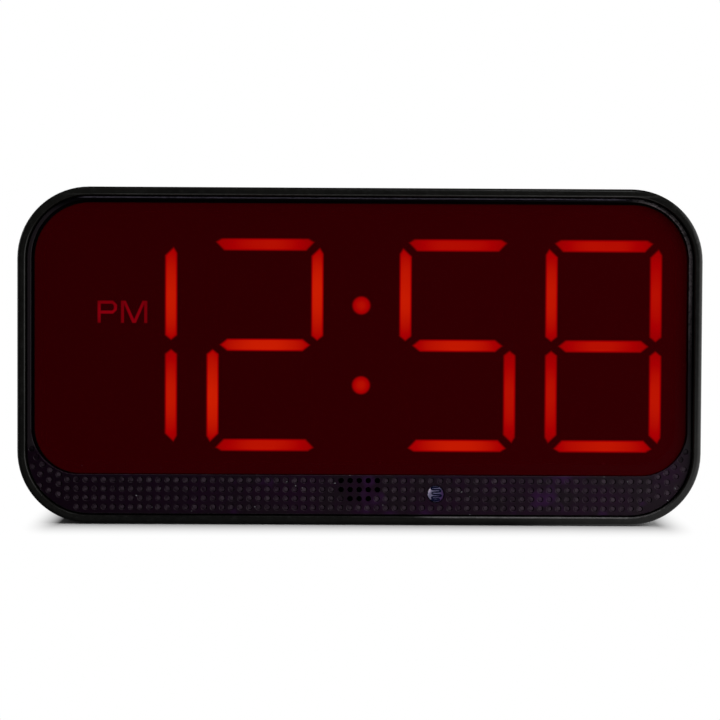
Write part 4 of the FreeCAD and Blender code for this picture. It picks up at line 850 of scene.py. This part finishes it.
# moulded legends on the back and on the bar
legends = {
    "size": 3.0, "switchSize": 2.4, "snoozeSize": 4.2, "raise": 0.12, "smoothness": 4,
    "backY": 22.7,
    "words": {"alarm_button": "ALARM", "time_button": "TIME", "hour_button": "HOUR", "minute_button": "MIN"},
    "above": 7.4,
    "switchWords": ((-5.0, "OFF"), (5.0, "ON")),
    "below": 5.6,
}


def makeWord(word, middle, size, turned, body):
    name = "legend_" + word.lower()
    text = bpy.data.curves.new(name, "FONT")
    text.body = word
    text.size, text.extrude = size * mm, legends["raise"] * mm
    text.align_x, text.align_y = "CENTER", "CENTER"
    text.resolution_u = legends["smoothness"]
    mesh = bakedMesh(addObject(name, text))
    mesh.transform(Matrix.Translation(middle) @ turned)
    makePiece(name, mesh, body, "label_film", "legend_print")


def makeLegends(look):
    facingBack = Matrix.Rotation(math.radians(180), 4, "Z") @ Matrix.Rotation(math.radians(90), 4, "X")
    backY = look["backY"] * mm
    for node, word in look["words"].items():
        x, _, z = middleOf(node)
        makeWord(word, (x, backY, z + look["above"] * mm), look["size"], facingBack, "case")
    x, _, z = middleOf("alarm_slide_switch")
    for aside, word in look["switchWords"]:
        middle = (x + aside * mm, backY, z - look["below"] * mm)
        makeWord(word, middle, look["switchSize"], facingBack, "case")
    x, y, _ = middleOf("snooze_bar")
    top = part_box("snooze_bar")[1].z
    makeWord("SNOOZE", (x, y, top), look["snoozeSize"], Matrix.Identity(4), "snooze")


makeLegends(legends)
print("legends made")


# studio: white surroundings, pale floor, soft lamps
studioLook = {
    "ambient": 0.24,      # light on the object from all sides
    "mirrorWhite": 1.3,   # what gloss sees to the right and low down
    "mirrorDim": 0.035,   # and everywhere else
    "lean": (0.80, 0.10, -0.59), "leanSpan": (0.06, 0.56),
    # a narrow white panel on the left, behind the front
    "leftLean": (-0.85, 0.50, 0.0), "leftSpan": (0.72, 0.95), "leftWhite": 0.6,
}
floorLook = {
    "size": 8.0,
    # painted shadow: near the case the floor is seen darker than the white beyond it
    "tone": 0.44,    # as it is seen
    "bounce": 0.09,  # as it throws light back up at the dark case
    # the soft shadow, part real and part painted by the darker floor tone near the case: about half the
    # ground that the case covers, and how it fades to white beyond
    "foot": (0.090, 0.0215, 0.0), "stretch": (3.4, 1.0, 0.0), "clearAt": 0.037, "fall": 1.9,
    "mirrorSpan": (0.05, 0.20),  # gloss sees the room in the floor from here on
}
lamps = {
    "right_key": {"place": (1.00, -0.75, 0.55), "size": (0.8, 0.7), "power": 22.0, "mirrored": False},
    "top_fill": {"place": (0.0, 0.10, 1.3), "size": (1.4, 0.9), "power": 5.0, "mirrored": False},
    "edge_strip": {"place": (0.16, -0.45, 0.95), "size": (0.12, 0.5), "power": 0.36, "mirrored": True},
}
lampAim = (0, 0, 0.05)


def mirrorLevel(tree, way, look):
    lean = vectorMaths(tree, "DOT_PRODUCT", way, look["lean"])
    left = vectorMaths(tree, "DOT_PRODUCT", way, look["leftLean"])
    right = mapped(tree, lean, *look["leanSpan"], look["mirrorDim"], look["mirrorWhite"])
    return maths(tree, "MAXIMUM", right, mapped(tree, left, *look["leftSpan"], 0.0, look["leftWhite"]))


def makeWorld(look):
    world = bpy.data.worlds.new("studio")
    scene.world = world
    world.use_nodes = True
    tree = world.node_tree
    rays = addNode(tree, "ShaderNodeLightPath").outputs
    way = addNode(tree, "ShaderNodeTexCoord").outputs["Generated"]
    level = mixNumbers(tree, rays["Is Glossy Ray"], look["ambient"], mirrorLevel(tree, way, look))
    seen = maths(tree, "MAXIMUM", rays["Is Camera Ray"], rays["Is Transmission Ray"])
    setInputs(tree, tree.nodes["Background"], {
        "Color": rgba((1, 1, 1)), "Strength": mixNumbers(tree, seen, level, 1.0)})


def shadowShare(tree, place, look):
    # 1 under the case, and 0 beyond the soft shadow round it, which is partly painted
    beyond = vectorMaths(tree, "ABSOLUTE", place)
    steps = (("SUBTRACT", look["foot"]), ("MAXIMUM", (0, 0, 0)), ("MULTIPLY", look["stretch"]))
    for operation, value in steps:
        beyond = vectorMaths(tree, operation, beyond, value)
    gap = vectorMaths(tree, "LENGTH", beyond)
    return maths(tree, "POWER", mapped(tree, gap, 0.0, look["clearAt"], 1.0, 0.0), look["fall"])


def floorMaterial(look):
    material, tree, place = startMaterial("studio_floor")
    tree.nodes.remove(tree.nodes["Principled BSDF"])
    rays = addNode(tree, "ShaderNodeLightPath").outputs
    pale, dull = rgba([look["tone"]] * 3), rgba([look["bounce"]] * 3)
    seen = mixColours(tree, rays["Is Camera Ray"], dull, pale)
    matt = addNode(tree, "ShaderNodeBsdfDiffuse", {"Color": seen}).outputs[0]
    white = addNode(tree, "ShaderNodeEmission", {"Color": rgba((1, 1, 1)), "Strength": 1.0}).outputs[0]
    clear = maths(tree, "SUBTRACT", 1.0, shadowShare(tree, place, look))
    toWhite = maths(tree, "MULTIPLY", clear, rays["Is Camera Ray"])
    ground = addNode(tree, "ShaderNodeMixShader", {0: toWhite, 1: matt, 2: white}).outputs[0]
    # gloss sees the room carried on across the floor
    way = vectorMaths(tree, "NORMALIZE", place)
    far = mapped(tree, vectorMaths(tree, "LENGTH", place), *look["mirrorSpan"])
    room = addNode(tree, "ShaderNodeEmission", {"Strength": mirrorLevel(tree, way, studioLook)}).outputs[0]
    toRoom = maths(tree, "MULTIPLY", far, rays["Is Glossy Ray"])
    surface = addNode(tree, "ShaderNodeMixShader", {0: toRoom, 1: ground, 2: room}).outputs[0]
    setInputs(tree, tree.nodes["Material Output"], {"Surface": surface})
    return material


def makeFloor(look):
    shape = bmesh.new()
    bmesh.ops.create_grid(shape, x_segments=1, y_segments=1, size=look["size"] / 2)
    floor = addObject("studio_floor", meshFrom("studio_floor", shape))
    floor.data.materials.append(floorMaterial(look))


def makeLamps(looks):
    for name, look in looks.items():
        light = bpy.data.lights.new(name, "AREA")
        light.shape = "RECTANGLE"
        light.size, light.size_y = look["size"]
        light.energy = look["power"]
        lamp = addObject(name, light)
        lamp.location = look["place"]
        aim = Vector(lampAim) - Vector(look["place"])
        lamp.rotation_euler = aim.to_track_quat("-Z", "Y").to_euler()
        lamp.visible_glossy = look["mirrored"]


makeWorld(studioLook)
makeFloor(floorLook)
makeLamps(lamps)
print("studio made")
